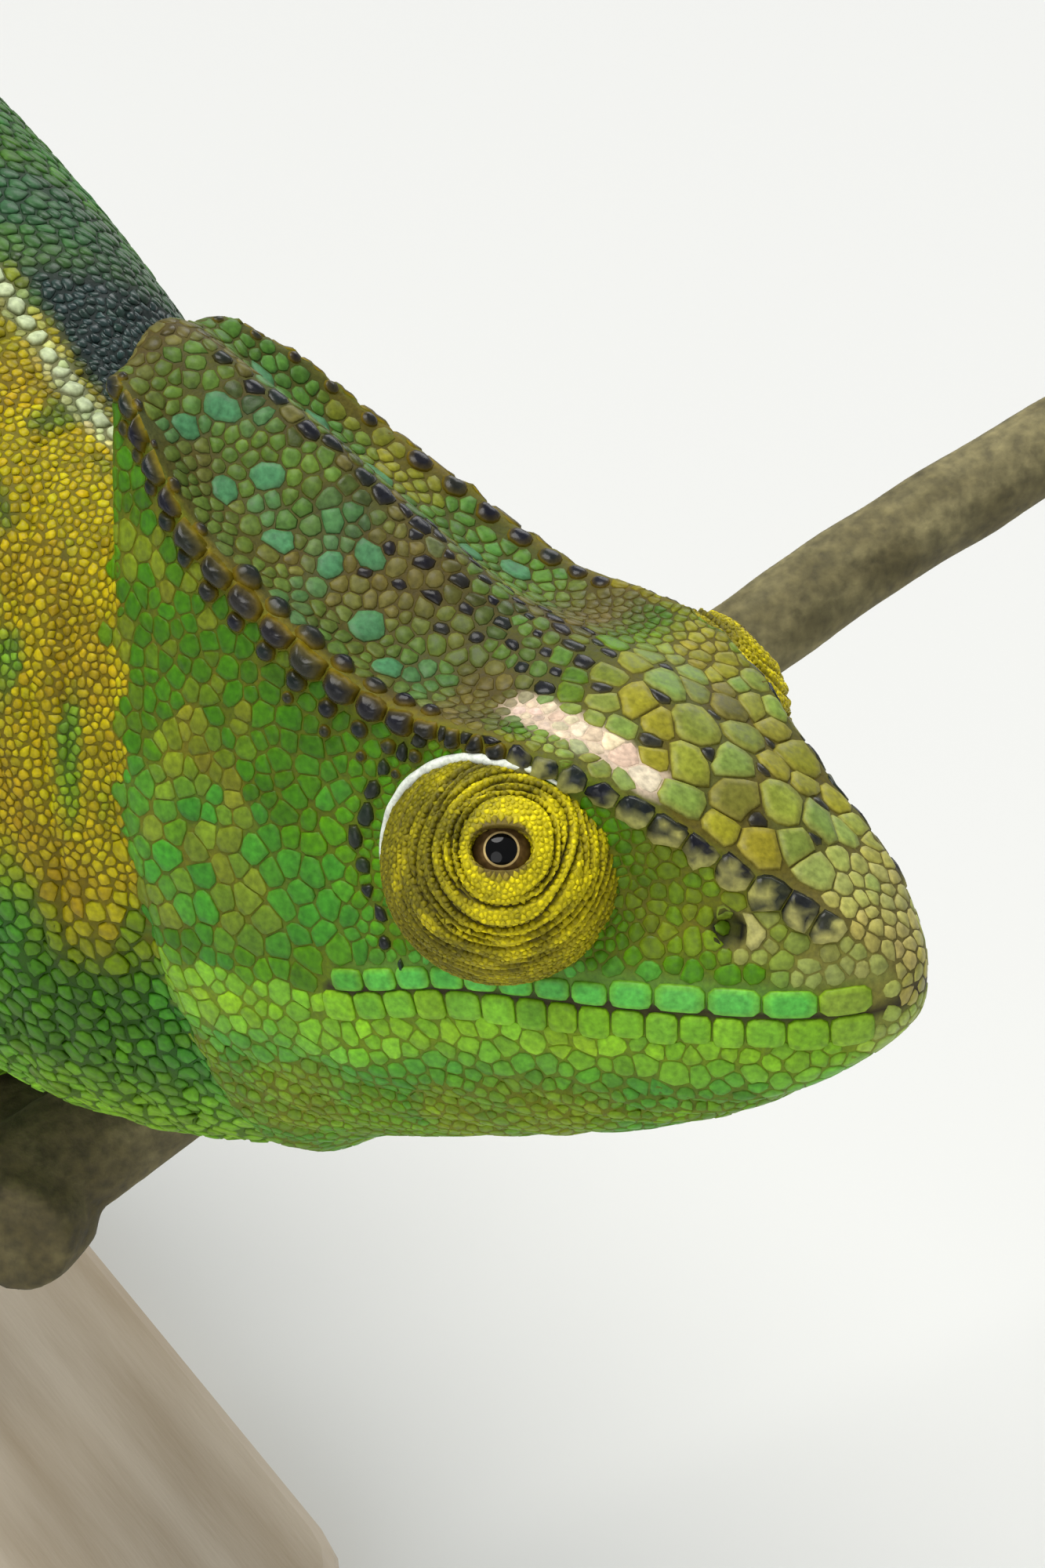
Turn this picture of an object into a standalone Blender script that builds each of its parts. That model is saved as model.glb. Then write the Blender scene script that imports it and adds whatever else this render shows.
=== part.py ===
"""Parsons chameleon, life size, gripping a forked perch on a display stand.

Every size below is in millimetres. Meshes are built in metres, +Z up, with the
origin in the middle of the stand's underside. The body runs along X, head to +X.
The head has a frame of its own: x to the snout, y to the animal's left, z up, with
its origin midway between the eyes. The body frame has z measured from the eyes too.
"""
import math
import random

import bpy
import bmesh
import numpy as np
from mathutils import Vector

MM = 0.001
GAP = 0.3                      # clearance between neighbouring solids

# Placing of the animal over its stand
BODY_SHIFT = 48.0              # body frame's x = 0 lies this far ahead of the origin
EYE_HEIGHT = 134.0             # eyes above the floor
HEAD_X, HEAD_Y = 90.0, 21.7    # head frame's origin in the body frame
HEAD_YAW = math.radians(30.0)  # the head is turned to the animal's left

# Head
HEAD_REAR = -28.6              # station of the head's rear face
REAR_SLANT = 0.24              # lean of the casque's rear face
SLANT_START, SLANT_SPAN = -10.0, 18.0
SLANT_LEVEL = -8.0             # height about which the rear stations lean
VALLEY_DEPTH = 1.0             # hollow between the casque's middle ridge and its edges
MOUTH_DEPTH = 0.7
MOUTH_CORNER = -11.0           # station where the mouth line ends
TUBERCLE_FRONT, TUBERCLE_REAR = 1.2, 1.65       # radii of the crest tubercles
FIRST_TUBERCLE, LAST_TUBERCLE = 26.3, -25.0     # their stations
NOSTRIL = (20.1, 7.9, -0.6)
NOSTRIL_RADIUS = 0.9

# Eyes
EYE_CENTRE = (1.75, 12.3, 1.9)
TURRET_RADIUS = 9.3
TURRET_BACK = 5.0              # the turret is cut flat this far from the midline
LID_OPENING = 2.2
PIT_DEPTH = 3.7
BALL_RADIUS, BALL_THICK = 1.9, 1.5
GAZE = (0.414, 0.68, 0.619)    # forwards, outwards, upwards

# Perch
PERCH_Z = -58.0
PERCH_RADIUS = 6.0
PERCH_REAR = -108.0

# Stand
BASE_LENGTH, BASE_WIDTH, BASE_HEIGHT = 150.0, 74.0, 10.0
BASE_CORNER = 14.0
ROD_RADIUS = 4.0
ROD_STATIONS = {"front": -25.0, "rear": -99.0}


def smooth_curve(table):
    """Return a function that reads a smooth curve through (station, value) pairs."""
    points = sorted(table)
    xs = np.array([p[0] for p in points], float)
    ys = np.array([p[1] for p in points], float)
    steps = np.diff(ys) / np.diff(xs)
    slopes = np.concatenate(([steps[0]], np.zeros(len(steps) - 1), [steps[-1]]))
    for i in range(1, len(steps)):
        if steps[i - 1] * steps[i] > 0:
            slopes[i] = 2 * steps[i - 1] * steps[i] / (steps[i - 1] + steps[i])

    def read(x):
        x = min(max(x, xs[0]), xs[-1])
        i = min(int(np.searchsorted(xs, x, side="right")) - 1, len(xs) - 2)
        h = xs[i + 1] - xs[i]
        t = (x - xs[i]) / h
        a = (1 + 2 * t) * (1 - t) ** 2 * ys[i] + t * (1 - t) ** 2 * h * slopes[i]
        b = t * t * (3 - 2 * t) * ys[i + 1] - t * t * (1 - t) * h * slopes[i + 1]
        return float(a + b)
    return read


def mix(a, b, t):
    return a + (b - a) * t


def ease(t):
    """Smooth step from 0 to 1."""
    t = min(max(t, 0.0), 1.0)
    return t * t * (3 - 2 * t)


def body_place(x, y, z):
    """Body frame to the part's frame, in millimetres."""
    return Vector((x + BODY_SHIFT, y, z + EYE_HEIGHT))


def head_place(x, y, z):
    """Head frame to the part's frame."""
    c, s = math.cos(HEAD_YAW), math.sin(HEAD_YAW)
    return body_place(HEAD_X + c * x - s * y, HEAD_Y + s * x + c * y, z)


# Solids and how they are joined

def finish_material(name, colour, roughness=0.6, metallic=0.0):
    material = bpy.data.materials.get(name) or bpy.data.materials.new(name)
    material.use_nodes = True
    shader = material.node_tree.nodes["Principled BSDF"]
    shader.inputs["Base Color"].default_value = (*colour, 1.0)
    shader.inputs["Roughness"].default_value = roughness
    shader.inputs["Metallic"].default_value = metallic
    material.diffuse_color = (*colour, 1.0)
    return material


def mesh_object(name, bm, material=None):
    """Turn a bmesh in millimetres into an object in metres."""
    bmesh.ops.recalc_face_normals(bm, faces=bm.faces)
    bmesh.ops.scale(bm, vec=(MM, MM, MM), verts=bm.verts)
    mesh = bpy.data.meshes.new(name)
    bm.to_mesh(mesh)
    bm.free()
    item = bpy.data.objects.new(name, mesh)
    bpy.context.scene.collection.objects.link(item)
    if material:
        mesh.materials.append(material)
    return item


def loft(name, rings, material=None):
    """A closed solid over rings of points, its two ends capped from their middles."""
    bm = bmesh.new()
    loops = [[bm.verts.new(point) for point in ring] for ring in rings]
    count = len(rings[0])
    for first, second in zip(loops, loops[1:]):
        for i in range(count):
            j = (i + 1) % count
            bm.faces.new((first[i], first[j], second[j], second[i]))
    for loop in (loops[0], loops[-1]):
        middle = bm.verts.new(sum((v.co for v in loop), Vector()) / count)
        for i in range(count):
            bm.faces.new((loop[i], loop[(i + 1) % count], middle))
    return mesh_object(name, bm, material)


def keep_largest(item):
    """Drop every loose shell but the largest."""
    bm = bmesh.new()
    bm.from_mesh(item.data)
    left = set(bm.faces)
    shells = []
    while left:
        stack = [left.pop()]
        shell = []
        while stack:
            face = stack.pop()
            shell.append(face)
            for edge in face.edges:
                for other in edge.link_faces:
                    if other in left:
                        left.remove(other)
                        stack.append(other)
        shells.append(shell)
    shells.sort(key=lambda shell: sum(face.calc_area() for face in shell))
    for shell in shells[:-1]:
        bmesh.ops.delete(bm, geom=shell, context="FACES")
    loose = [v for v in bm.verts if not v.link_faces]
    bmesh.ops.delete(bm, geom=loose, context="VERTS")
    bm.to_mesh(item.data)
    bm.free()


def combine(item, tools, operation, solver="EXACT"):
    """Apply one Boolean with a collection of closed tools, then drop the tools."""
    group = bpy.data.collections.new(item.name + "_tools")
    bpy.context.scene.collection.children.link(group)
    for tool in tools:
        group.objects.link(tool)
    change = item.modifiers.new("combine", "BOOLEAN")
    change.operation = operation
    change.solver = solver
    change.operand_type = "COLLECTION"
    change.collection = group
    bpy.context.view_layer.update()
    seen = item.evaluated_get(bpy.context.evaluated_depsgraph_get())
    result = bpy.data.meshes.new_from_object(seen)
    item.modifiers.clear()
    old = item.data
    item.data = result
    bpy.data.meshes.remove(old)
    for tool in tools:
        bpy.data.objects.remove(tool)
    bpy.data.collections.remove(group)
    keep_largest(item)
    return item


def ball(name, centre, radii, axes=None, rings=6, sides=8):
    """An ellipsoid whose radii lie along the given axes."""
    bm = bmesh.new()
    bmesh.ops.create_uvsphere(bm, u_segments=sides, v_segments=rings, radius=1.0)
    axes = axes or (Vector((1, 0, 0)), Vector((0, 1, 0)), Vector((0, 0, 1)))
    for v in bm.verts:
        local = v.co.copy()
        v.co = centre + sum((axes[k] * (local[k] * radii[k]) for k in range(3)), Vector())
    return mesh_object(name, bm)


class Path:
    """A smooth line through a few points, read by the distance along it."""

    def __init__(self, points, fineness=24, smooth=True):
        points = [Vector(p) for p in points]
        line = []
        if smooth:
            count = len(points)
            for i in range(count - 1):
                before = points[i - 1] if i else points[0] * 2 - points[1]
                after = points[i + 2] if i + 2 < count else points[-1] * 2 - points[-2]
                for k in range(fineness):
                    line.append(self.between(before, points[i], points[i + 1], after, k / fineness))
            line.append(points[-1])
        else:
            line = points
        self.line = line
        self.marks = [0.0]
        for a, b in zip(line, line[1:]):
            self.marks.append(self.marks[-1] + (b - a).length)
        self.length = self.marks[-1]

    @staticmethod
    def between(a, b, c, d, t):
        """Point between b and c on a rounded curve that also knows a and d."""
        return 0.5 * (2 * b + (c - a) * t + (2 * a - 5 * b + 4 * c - d) * t * t
                      + (3 * b - 3 * c + d - a) * t ** 3)

    def at(self, distance):
        distance = min(max(distance, 0.0), self.length)
        i = min(int(np.searchsorted(self.marks, distance, side="right")) - 1, len(self.line) - 2)
        t = (distance - self.marks[i]) / (self.marks[i + 1] - self.marks[i])
        return self.line[i].lerp(self.line[i + 1], t)

    def along(self, distance, reach=1.0):
        return (self.at(distance + reach) - self.at(distance - reach)).normalized()


def tube_rings(path, start, end, radius, sides, steps, side_way=None, flat=1.0, faces=(None, None)):
    """Rings round a path, each square to it. radius reads a distance along it.

    faces may give the distances where the first and last ring take their slope, so
    that two lengths parted at one place meet in parallel flats.
    """
    rings = []
    across = side_way
    for k in range(steps + 1):
        distance = mix(start, end, k / steps)
        forward = path.along(distance)
        if k == 0 and faces[0] is not None:
            forward = path.along(faces[0], 0.2)
        if k == steps and faces[1] is not None:
            forward = path.along(faces[1], 0.2)
        if across is None:
            across = forward.orthogonal().normalized()
        across = (across - forward * across.dot(forward)).normalized()
        other = forward.cross(across)
        r = radius(distance)
        centre = path.at(distance)
        ring = []
        for i in range(sides):
            angle = 2 * math.pi * i / sides
            ring.append(centre + across * (r * flat * math.cos(angle)) + other * (r * math.sin(angle)))
        rings.append(ring)
    return rings


# Head: curves read by station, which runs from the rear face to the snout

ridge_z = smooth_curve([(30.0, -4.4), (29.3, -2.8), (28.1, -1.2), (24.8, 1.9), (18.3, 6.9), (11.8, 10.3),
                        (6, 12.8), (0, 14.3), (-5, 15.6), (-9, 17.7), (-14.5, 21.5), (-18, 25.1),
                        (-22, 28.8), (-25.8, 31.2), (-28.6, 31.4)])
crest_z = smooth_curve([(30.0, -4.6), (29.3, -3.1), (28.1, -1.7), (25.5, 1.0), (21.7, 3.1), (17.3, 5.6),
                        (14.4, 7.5), (10.9, 9.7), (5.5, 11.9), (0, 12.7), (-5.7, 12.9), (-11.5, 14.5),
                        (-16.5, 17.9), (-20.7, 21.8), (-23.3, 26.2), (-26, 29.3), (-28.6, 30.0)])
crest_y = smooth_curve([(30.0, 0.9), (29.3, 1.9), (28.1, 2.9), (25.7, 4.7), (21.7, 6.3), (17.3, 7.8),
                        (14.4, 8.9), (10.9, 10.4), (5.9, 12.0), (0, 13.0), (-6, 13.4), (-12, 13.5),
                        (-16.5, 13.2), (-20.7, 12.2), (-23.3, 10.4), (-26, 7.6), (-28.6, 6.2)])
flank_y = smooth_curve([(30.0, 1.1), (29.3, 2.5), (28.1, 3.9), (25.1, 5.9), (21.3, 7.4), (17.5, 8.5),
                        (13.7, 9.6), (9.9, 10.8), (5, 12.4), (0, 13.6), (-6, 15.0), (-12, 15.9),
                        (-20, 16.5), (-28.6, 16.2)])
lip_y = smooth_curve([(30.0, 1.2), (29.3, 2.9), (28.1, 4.4), (25.1, 6.9), (21.3, 9.1), (17.5, 10.8),
                      (13.7, 12.4), (9.9, 13.8), (5, 15.1), (0, 16.1), (-6, 16.9), (-12, 17.4),
                      (-20, 17.6), (-28.6, 16.8)])
lip_z = smooth_curve([(30.0, -6.2), (27.0, -6.6), (23.0, -6.8), (15.3, -6.9), (10.5, -7.0), (3.6, -7.3),
                      (-1.3, -8.0), (-10, -10.4), (-28.6, -12.0)])
jaw_y = smooth_curve([(30.0, 1.0), (29.3, 2.5), (28.1, 3.7), (25.1, 6.0), (21.3, 8.2), (16.6, 10.4),
                      (11.8, 12.2), (6, 13.9), (0, 15.2), (-10, 16.5), (-20, 16.4), (-28.6, 15.4)])
jaw_z = smooth_curve([(30.0, -7.9), (29.3, -9.0), (27.0, -11.1), (22.3, -13.3), (11.8, -15.5), (0, -17.0),
                      (-10, -18.4), (-28.6, -21.0)])
throat_z = smooth_curve([(30.0, -8.3), (29.3, -9.7), (28.0, -11.3), (23.2, -15.6), (17.5, -19.8),
                         (7.5, -24.6), (-5.7, -29.4), (-19, -34.2), (-28.6, -37.6)])
casque_fade = smooth_curve([(30.0, 0.0), (4, 0.25), (-6, 0.8), (-12, 1.0), (-22, 1.0), (-28.6, 0.4)])
rear_round = smooth_curve([(30.0, 1.0), (-27, 1.0), (-28.0, 0.98), (-28.6, 0.93)])

HEAD_STATIONS = (30.0, 29.3, 28.1, 26.4, 24.2, 21.3, 18.4, 15.6, 12.8, 9.9, 7.0, 4.0, 1.0, -2.0,
                 -5.0, -8.0, -11.0, -13.5, -16.0, -18.5, -20.7, -22.8, -25.0, -27.0, -28.0, -28.6)


def lean(station, z):
    """Lengthwise place of a point of a station: the rear ones lean back."""
    share = ease((SLANT_START - station) / SLANT_SPAN)
    return station - REAR_SLANT * share * (z - SLANT_LEVEL)


def head_half(station):
    """Half a head section, from the middle of the crown down to the throat."""
    top, edge_z, edge_y = ridge_z(station), crest_z(station), crest_y(station)
    flank, lip, mouth = flank_y(station), lip_y(station), lip_z(station)
    jaw, chin, low = jaw_y(station), jaw_z(station), throat_z(station)
    hollow = VALLEY_DEPTH * casque_fade(station)
    groove = MOUTH_DEPTH * ease((station - MOUTH_CORNER) / 4) * ease((HEAD_STATIONS[0] - station + 0.4) / 1.5)
    snug = min(1.0, (edge_z - mouth) / 8.0)       # closes the lip bands up at the snout
    below = min(1.0, (mouth - chin) / 5.0)
    brow = edge_z - 1.5 * snug
    cheek = min(0.0, edge_z - 2.6 * snug)
    return [(0.0, top),
            (0.30 * edge_y, mix(top, edge_z, 0.22) - 0.2 * hollow),
            (0.62 * edge_y, mix(top, edge_z, 0.66) - hollow),
            (0.88 * edge_y, edge_z - 0.15 * hollow),
            (edge_y, edge_z),
            (edge_y + 0.1, brow),
            (mix(edge_y, flank, 0.45), mix(brow, cheek, 0.4)),
            (flank, cheek),
            (mix(flank, lip, 0.75), mix(mouth, cheek, 0.42)),
            (lip, mouth + 0.5 * snug),
            (lip - groove, mouth),
            (lip, mouth - 0.5 * below),
            (mix(lip, jaw, 0.4), mix(mouth, chin, 0.55)),
            (jaw, chin),
            (0.82 * jaw, mix(chin, low, 0.48)),
            (0.46 * jaw, mix(chin, low, 0.84)),
            (0.0, low)]


def head_ring(station):
    """A whole head section as points of the part's frame."""
    half = head_half(station)
    scale = rear_round(station)
    ring = []
    for y, z in half + [(-y, z) for y, z in reversed(half[1:-1])]:
        z = SLANT_LEVEL + (z - SLANT_LEVEL) * scale
        ring.append(head_place(lean(station, z), -y * scale, z))
    return ring


def crest_tubercles(side):
    """Rounded tubercles along one crest, prouder and larger towards the rear of the casque."""
    rng = random.Random(11 if side > 0 else 12)
    items = []
    station = FIRST_TUBERCLE
    while station > LAST_TUBERCLE:
        rear = ease((6 - station) / 24)
        radius = mix(TUBERCLE_FRONT, TUBERCLE_REAR, rear) * rng.uniform(0.92, 1.08)
        y, z = crest_y(station), crest_z(station)
        sunk = mix(0.85, 0.5, rear)
        centre = head_place(lean(station, z), side * (y - 0.5), z - sunk)
        items.append(ball("tubercle", centre, (radius, 0.9 * radius, radius), rings=4, sides=5))
        station -= 2.1 * radius * rng.uniform(0.95, 1.08)
    return items


def gaze(side):
    way = Vector((GAZE[0], side * GAZE[1], GAZE[2])).normalized()
    origin = head_place(0, 0, 0)
    return (head_place(*way) - origin).normalized()


def turned_about_gaze(name, side, profile, turns):
    """Spin a profile of (distance along the gaze, radius) round the gaze."""
    centre = head_place(EYE_CENTRE[0], side * EYE_CENTRE[1], EYE_CENTRE[2])
    forward = gaze(side)
    across = forward.cross(Vector((0, 0, 1))).normalized()
    upward = across.cross(forward)
    rings = []
    for along, radius in profile:
        ring = []
        for i in range(turns):
            angle = 2 * math.pi * i / turns
            ring.append(centre + forward * along + across * (radius * math.cos(angle))
                        + upward * (radius * math.sin(angle)))
        rings.append(ring)
    return loft(name, rings)


def cut_towards_middle(item, side, distance):
    """Cut an eye solid flat, so far from the head's midline, and close it."""
    outward = head_place(0, side, 0) - head_place(0, 0, 0)
    bm = bmesh.new()
    bm.from_mesh(item.data)
    geometry = bm.verts[:] + bm.edges[:] + bm.faces[:]
    found = bmesh.ops.bisect_plane(bm, geom=geometry, dist=1e-6, clear_inner=True, plane_no=outward,
                                   plane_co=head_place(0, side * distance, 0) * MM)
    rim = [e for e in found["geom_cut"] if isinstance(e, bmesh.types.BMEdge)]
    bmesh.ops.holes_fill(bm, edges=rim, sides=0)
    bmesh.ops.recalc_face_normals(bm, faces=bm.faces)
    bm.to_mesh(item.data)
    bm.free()
    return item


def turret(side, grow=0.0):
    """The scaly eyelid cone: a ball with folds round a small round opening."""
    radius = TURRET_RADIUS + grow
    profile = []
    if grow == 0.0:
        rim = math.asin((LID_OPENING + 0.5) / radius)
        profile = [(radius - PIT_DEPTH, LID_OPENING * 0.5), (radius - PIT_DEPTH, LID_OPENING),
                   (radius * math.cos(rim) - 0.2, LID_OPENING)]
    else:
        rim = math.radians(6)
    steps = 15
    for k in range(steps):
        angle = mix(rim, math.radians(174), k / (steps - 1))
        fold = 0.28 if 0 < k < 8 and k % 2 and grow == 0.0 else 0.0
        profile.append(((radius - fold) * math.cos(angle), (radius - fold) * math.sin(angle)))
    item = turned_about_gaze("turret", side, profile, 22)
    return cut_towards_middle(item, side, TURRET_BACK - grow)


def build_head(skin):
    head = loft("head", [head_ring(s) for s in HEAD_STATIONS], skin)
    lumps = crest_tubercles(1) + crest_tubercles(-1)
    combine(head, lumps, "UNION")
    pits = [turret(1, GAP), turret(-1, GAP)]
    for side in (1, -1):
        centre = head_place(NOSTRIL[0], side * NOSTRIL[1], NOSTRIL[2])
        pits.append(ball("nostril", centre, (1.3 * NOSTRIL_RADIUS, NOSTRIL_RADIUS, NOSTRIL_RADIUS)))
    combine(head, pits, "DIFFERENCE")
    return head


def build_eyes(lid_skin, eye_gloss):
    for side, word in ((1, "left"), (-1, "right")):
        item = turret(side)
        item.name = "turret_" + word
        item.data.materials.clear()
        item.data.materials.append(lid_skin)
        steps = 7
        profile = []
        for k in range(steps):
            angle = math.radians(mix(6, 174, k / (steps - 1)))
            reach = TURRET_RADIUS - PIT_DEPTH + GAP + BALL_THICK
            profile.append((reach + BALL_THICK * math.cos(angle), BALL_RADIUS * math.sin(angle)))
        eye = turned_about_gaze("eye_" + word, side, profile, 12)
        eye.data.materials.append(eye_gloss)


# Body: sections read by the distance behind the head

NECK_LENGTH = 37.0
TORSO_END, HIPS_END = 112.0, 159.0
body_top = smooth_curve([(0, 18.6), (8, 20.6), (18, 23.2), (37, 27.2), (54, 29.8), (74, 31.2),
                         (98, 29.8), (122, 24.4), (144, 14.8), (159, 7.6)])
body_low = smooth_curve([(0, -36.6), (8, -39.0), (18, -41.0), (37, -43.2), (54, -44.2), (74, -44.8),
                         (98, -43.4), (120, -37.4), (142, -26.2), (159, -17.6)])
body_width = smooth_curve([(0, 15.3), (8, 17.6), (18, 20.4), (37, 22.8), (54, 23.6), (74, 24.0),
                           (98, 22.6), (122, 19.0), (144, 13.6), (159, 10.2)])
BODY_SIDES = 26
BACK_FULLNESS, BELLY_FULLNESS = 0.8, 0.9       # under 1, a half section is fuller than an ellipse


def body_axis(distance):
    """Middle line of the body seen from above: place, heading and rear lean."""
    rear = HEAD_REAR - GAP
    start = Vector((HEAD_X + math.cos(HEAD_YAW) * rear, HEAD_Y + math.sin(HEAD_YAW) * rear))
    end = Vector((30.0, 0.0))
    share = distance / NECK_LENGTH
    if share >= 1:
        return end + Vector((NECK_LENGTH - distance, 0.0)), 0.0, 0.0
    pull = NECK_LENGTH
    leave = Vector((-math.cos(HEAD_YAW), -math.sin(HEAD_YAW))) * pull
    arrive = Vector((-1.0, 0.0)) * pull
    t = share
    place = ((1 + 2 * t) * (1 - t) ** 2 * start + t * (1 - t) ** 2 * leave
             + t * t * (3 - 2 * t) * end - t * t * (1 - t) * arrive)
    turn = HEAD_YAW * (1 - ease(share))
    return place, turn, REAR_SLANT * (1 - ease(share))


def body_ring(distance, grow=0.0):
    """One section of the trunk, a leaf shape deeper than it is wide."""
    place, turn, slant = body_axis(distance)
    top, low = body_top(distance) + grow, body_low(distance) - grow
    half, width = (top - low) / 2, body_width(distance) + grow
    middle = (top + low) / 2
    ring = []
    for i in range(BODY_SIDES):
        angle = 2 * math.pi * i / BODY_SIDES
        rise = math.cos(angle)
        fullness = mix(BELLY_FULLNESS, BACK_FULLNESS, ease(0.5 + rise))
        side = math.copysign(abs(math.sin(angle)) ** fullness, math.sin(angle))
        z = middle + half * rise
        y = width * side * (1 + 0.06 * rise)
        back = -slant * (z - SLANT_LEVEL)
        x_place = place.x + math.cos(turn) * back - math.sin(turn) * y
        y_place = place.y + math.sin(turn) * back + math.cos(turn) * y
        ring.append(body_place(x_place, y_place, z))
    return ring


def body_length(name, start, end, steps, skin=None, grow=0.0):
    rings = [body_ring(mix(start, end, k / steps), grow) for k in range(steps + 1)]
    return loft(name, rings, skin)


def build_body(skin):
    half = GAP / 2
    body_length("neck", 0.0, NECK_LENGTH - half, 6, skin)
    body_length("torso", NECK_LENGTH + half, TORSO_END - half, 9, skin)
    body_length("hips", TORSO_END + half, HIPS_END - half, 6, skin)


# Tail: a run down from the hips, then a coil in the body's middle plane

COIL_X, COIL_Z = -148.0, -88.0
COIL_RADIUS = 30.0
COIL_START = math.radians(112)
COIL_TURN = math.radians(800)
COIL_SHRINK = math.log(1.92) / (2 * math.pi)    # each full turn is 1.92 times smaller
TAIL_ROOT, TAIL_ROUND = 12.3, 0.265             # root radius; coil's thickness over its radius
TAIL_FLAT = 0.8
TAIL_CUTS = {"tail_base": 0.0, "tail_outer_turn": 76.0, "tail_middle_turn": 172.0, "tail_tip": 246.0}


def tail_path():
    hips_x = 30.0 - (HIPS_END - NECK_LENGTH)
    hips_z = (body_top(HIPS_END) + body_low(HIPS_END)) / 2
    points = []
    coil = []
    for k in range(121):
        angle = COIL_TURN * k / 120
        radius = COIL_RADIUS * math.exp(-COIL_SHRINK * angle)
        around = COIL_START + angle
        coil.append(Vector((COIL_X + radius * math.cos(around), 0.0, COIL_Z + radius * math.sin(around))))
    start = Vector((hips_x, 0.0, hips_z))
    first = start + Vector((-26.0, 0.0, 0.0))
    second = coil[0] - (coil[1] - coil[0]).normalized() * 30.0
    for k in range(96):
        t = k / 96
        points.append((1 - t) ** 3 * start + 3 * t * (1 - t) ** 2 * first
                      + 3 * t * t * (1 - t) * second + t ** 3 * coil[0])
    return Path([body_place(*p) for p in points + coil], smooth=False), len(points)


def build_tail(skin):
    path, joint = tail_path()
    coil_mark = path.marks[joint]

    def radius(distance):
        if distance < coil_mark:
            return mix(TAIL_ROOT, TAIL_ROUND * COIL_RADIUS, ease(distance / coil_mark) ** 0.8)
        ring = COIL_RADIUS - (distance - coil_mark) * COIL_SHRINK / math.hypot(1, COIL_SHRINK)
        tip = min(1.0, (path.length - distance) / 26.0)
        return max(TAIL_ROUND * ring * mix(0.45, 1.0, tip), 0.9)
    cuts = list(TAIL_CUTS.values()) + [path.length - 0.5]
    for (name, start), end in zip(TAIL_CUTS.items(), cuts[1:]):
        steps = 8 if start == 0.0 else 13
        rings = tube_rings(path, start + GAP, end, radius, 12, steps, Vector((0, 1, 0)), TAIL_FLAT,
                           faces=(start, end))
        loft(name, rings, skin)


# Legs: each is one bent limb from inside the trunk to the perch, parted at its joints

LEGS = {
    "fore_right": {"side": -1, "foot_x": 25.0, "toes_in": 3, "toes_out": 2,
                   "joints": ((34, -8, -16), (9, -33, -31), (20, -15.5, -45))},
    "fore_left": {"side": 1, "foot_x": 2.0, "toes_in": 3, "toes_out": 2,
                  "joints": ((34, 8, -16), (3, 34, -29), (4, 15.5, -45))},
    "hind_right": {"side": -1, "foot_x": -54.0, "toes_in": 2, "toes_out": 3,
                   "joints": ((-78, -5, -6), (-46, -34, -19), (-58, -15.5, -45))},
    "hind_left": {"side": 1, "foot_x": -83.0, "toes_in": 2, "toes_out": 3,
                  "joints": ((-78, 5, -6), (-62, 37, -20), (-86, 15.5, -45))},
}
LIMB_SIDES = 10
LIMB_ROUNDING = 8.5            # the elbow and knee are rounded over this length each way
PALM_ANGLE = math.radians(38)
TOE_RADIUS = 2.15
CLAW_LENGTH = 3.6


def around_perch(x, angle, radius):
    """Point at an angle from the top of the perch, positive to the animal's left."""
    return body_place(x, radius * math.sin(angle), PERCH_Z + radius * math.cos(angle))


def toe(x, start, end, slip):
    """One toe bent round the perch with a claw at its end."""
    steps = 5
    radius = PERCH_RADIUS + GAP + TOE_RADIUS
    line = []
    for k in range(steps + 1):
        line.append(around_perch(x + slip * k / steps, mix(start, end, k / steps), radius))
    path = Path(line, 4)
    width = smooth_curve([(0, TOE_RADIUS), (0.75 * path.length, 0.95 * TOE_RADIUS),
                          (path.length, 0.62 * TOE_RADIUS)])
    toe_body = loft("toe", tube_rings(path, 0.0, path.length, width, 6, 4))
    way = 1 if end > start else -1
    sweep = CLAW_LENGTH / (PERCH_RADIUS + 1.5)
    claw_line = []
    for k in range(4):
        share = k / 3
        angle = end + way * (mix(-0.12, sweep, share))
        height = PERCH_RADIUS + GAP + mix(TOE_RADIUS + 0.5, 0.45, share ** 1.3)
        claw_line.append(around_perch(x + slip, angle, height))
    claw_path = Path(claw_line, 4)
    taper = smooth_curve([(0, 0.95), (0.5 * claw_path.length, 0.7), (claw_path.length, 0.25)])
    claw = loft("claw", tube_rings(claw_path, 0.0, claw_path.length, taper, 5, 2))
    return [toe_body, claw]


def limb_path(leg):
    side, foot_x = leg["side"], leg["foot_x"]
    root, bend, wrist = [body_place(*p) for p in leg["joints"]]
    palm = around_perch(foot_x, side * PALM_ANGLE, PERCH_RADIUS + GAP + 4.2)
    points = [root, root.lerp(bend, 0.5), bend + (root - bend).normalized() * LIMB_ROUNDING,
              bend + (wrist - bend).normalized() * LIMB_ROUNDING, wrist, palm]
    return Path(points)


def limb_lengths(path, leg):
    """Distances of the elbow or knee, and of the wrist or ankle, along the limb."""
    bend, wrist = [body_place(*p) for p in leg["joints"][1:]]
    nearest = [min(range(len(path.line)), key=lambda i: (path.line[i] - p).length) for p in (bend, wrist)]
    return [path.marks[i] for i in nearest]


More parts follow.
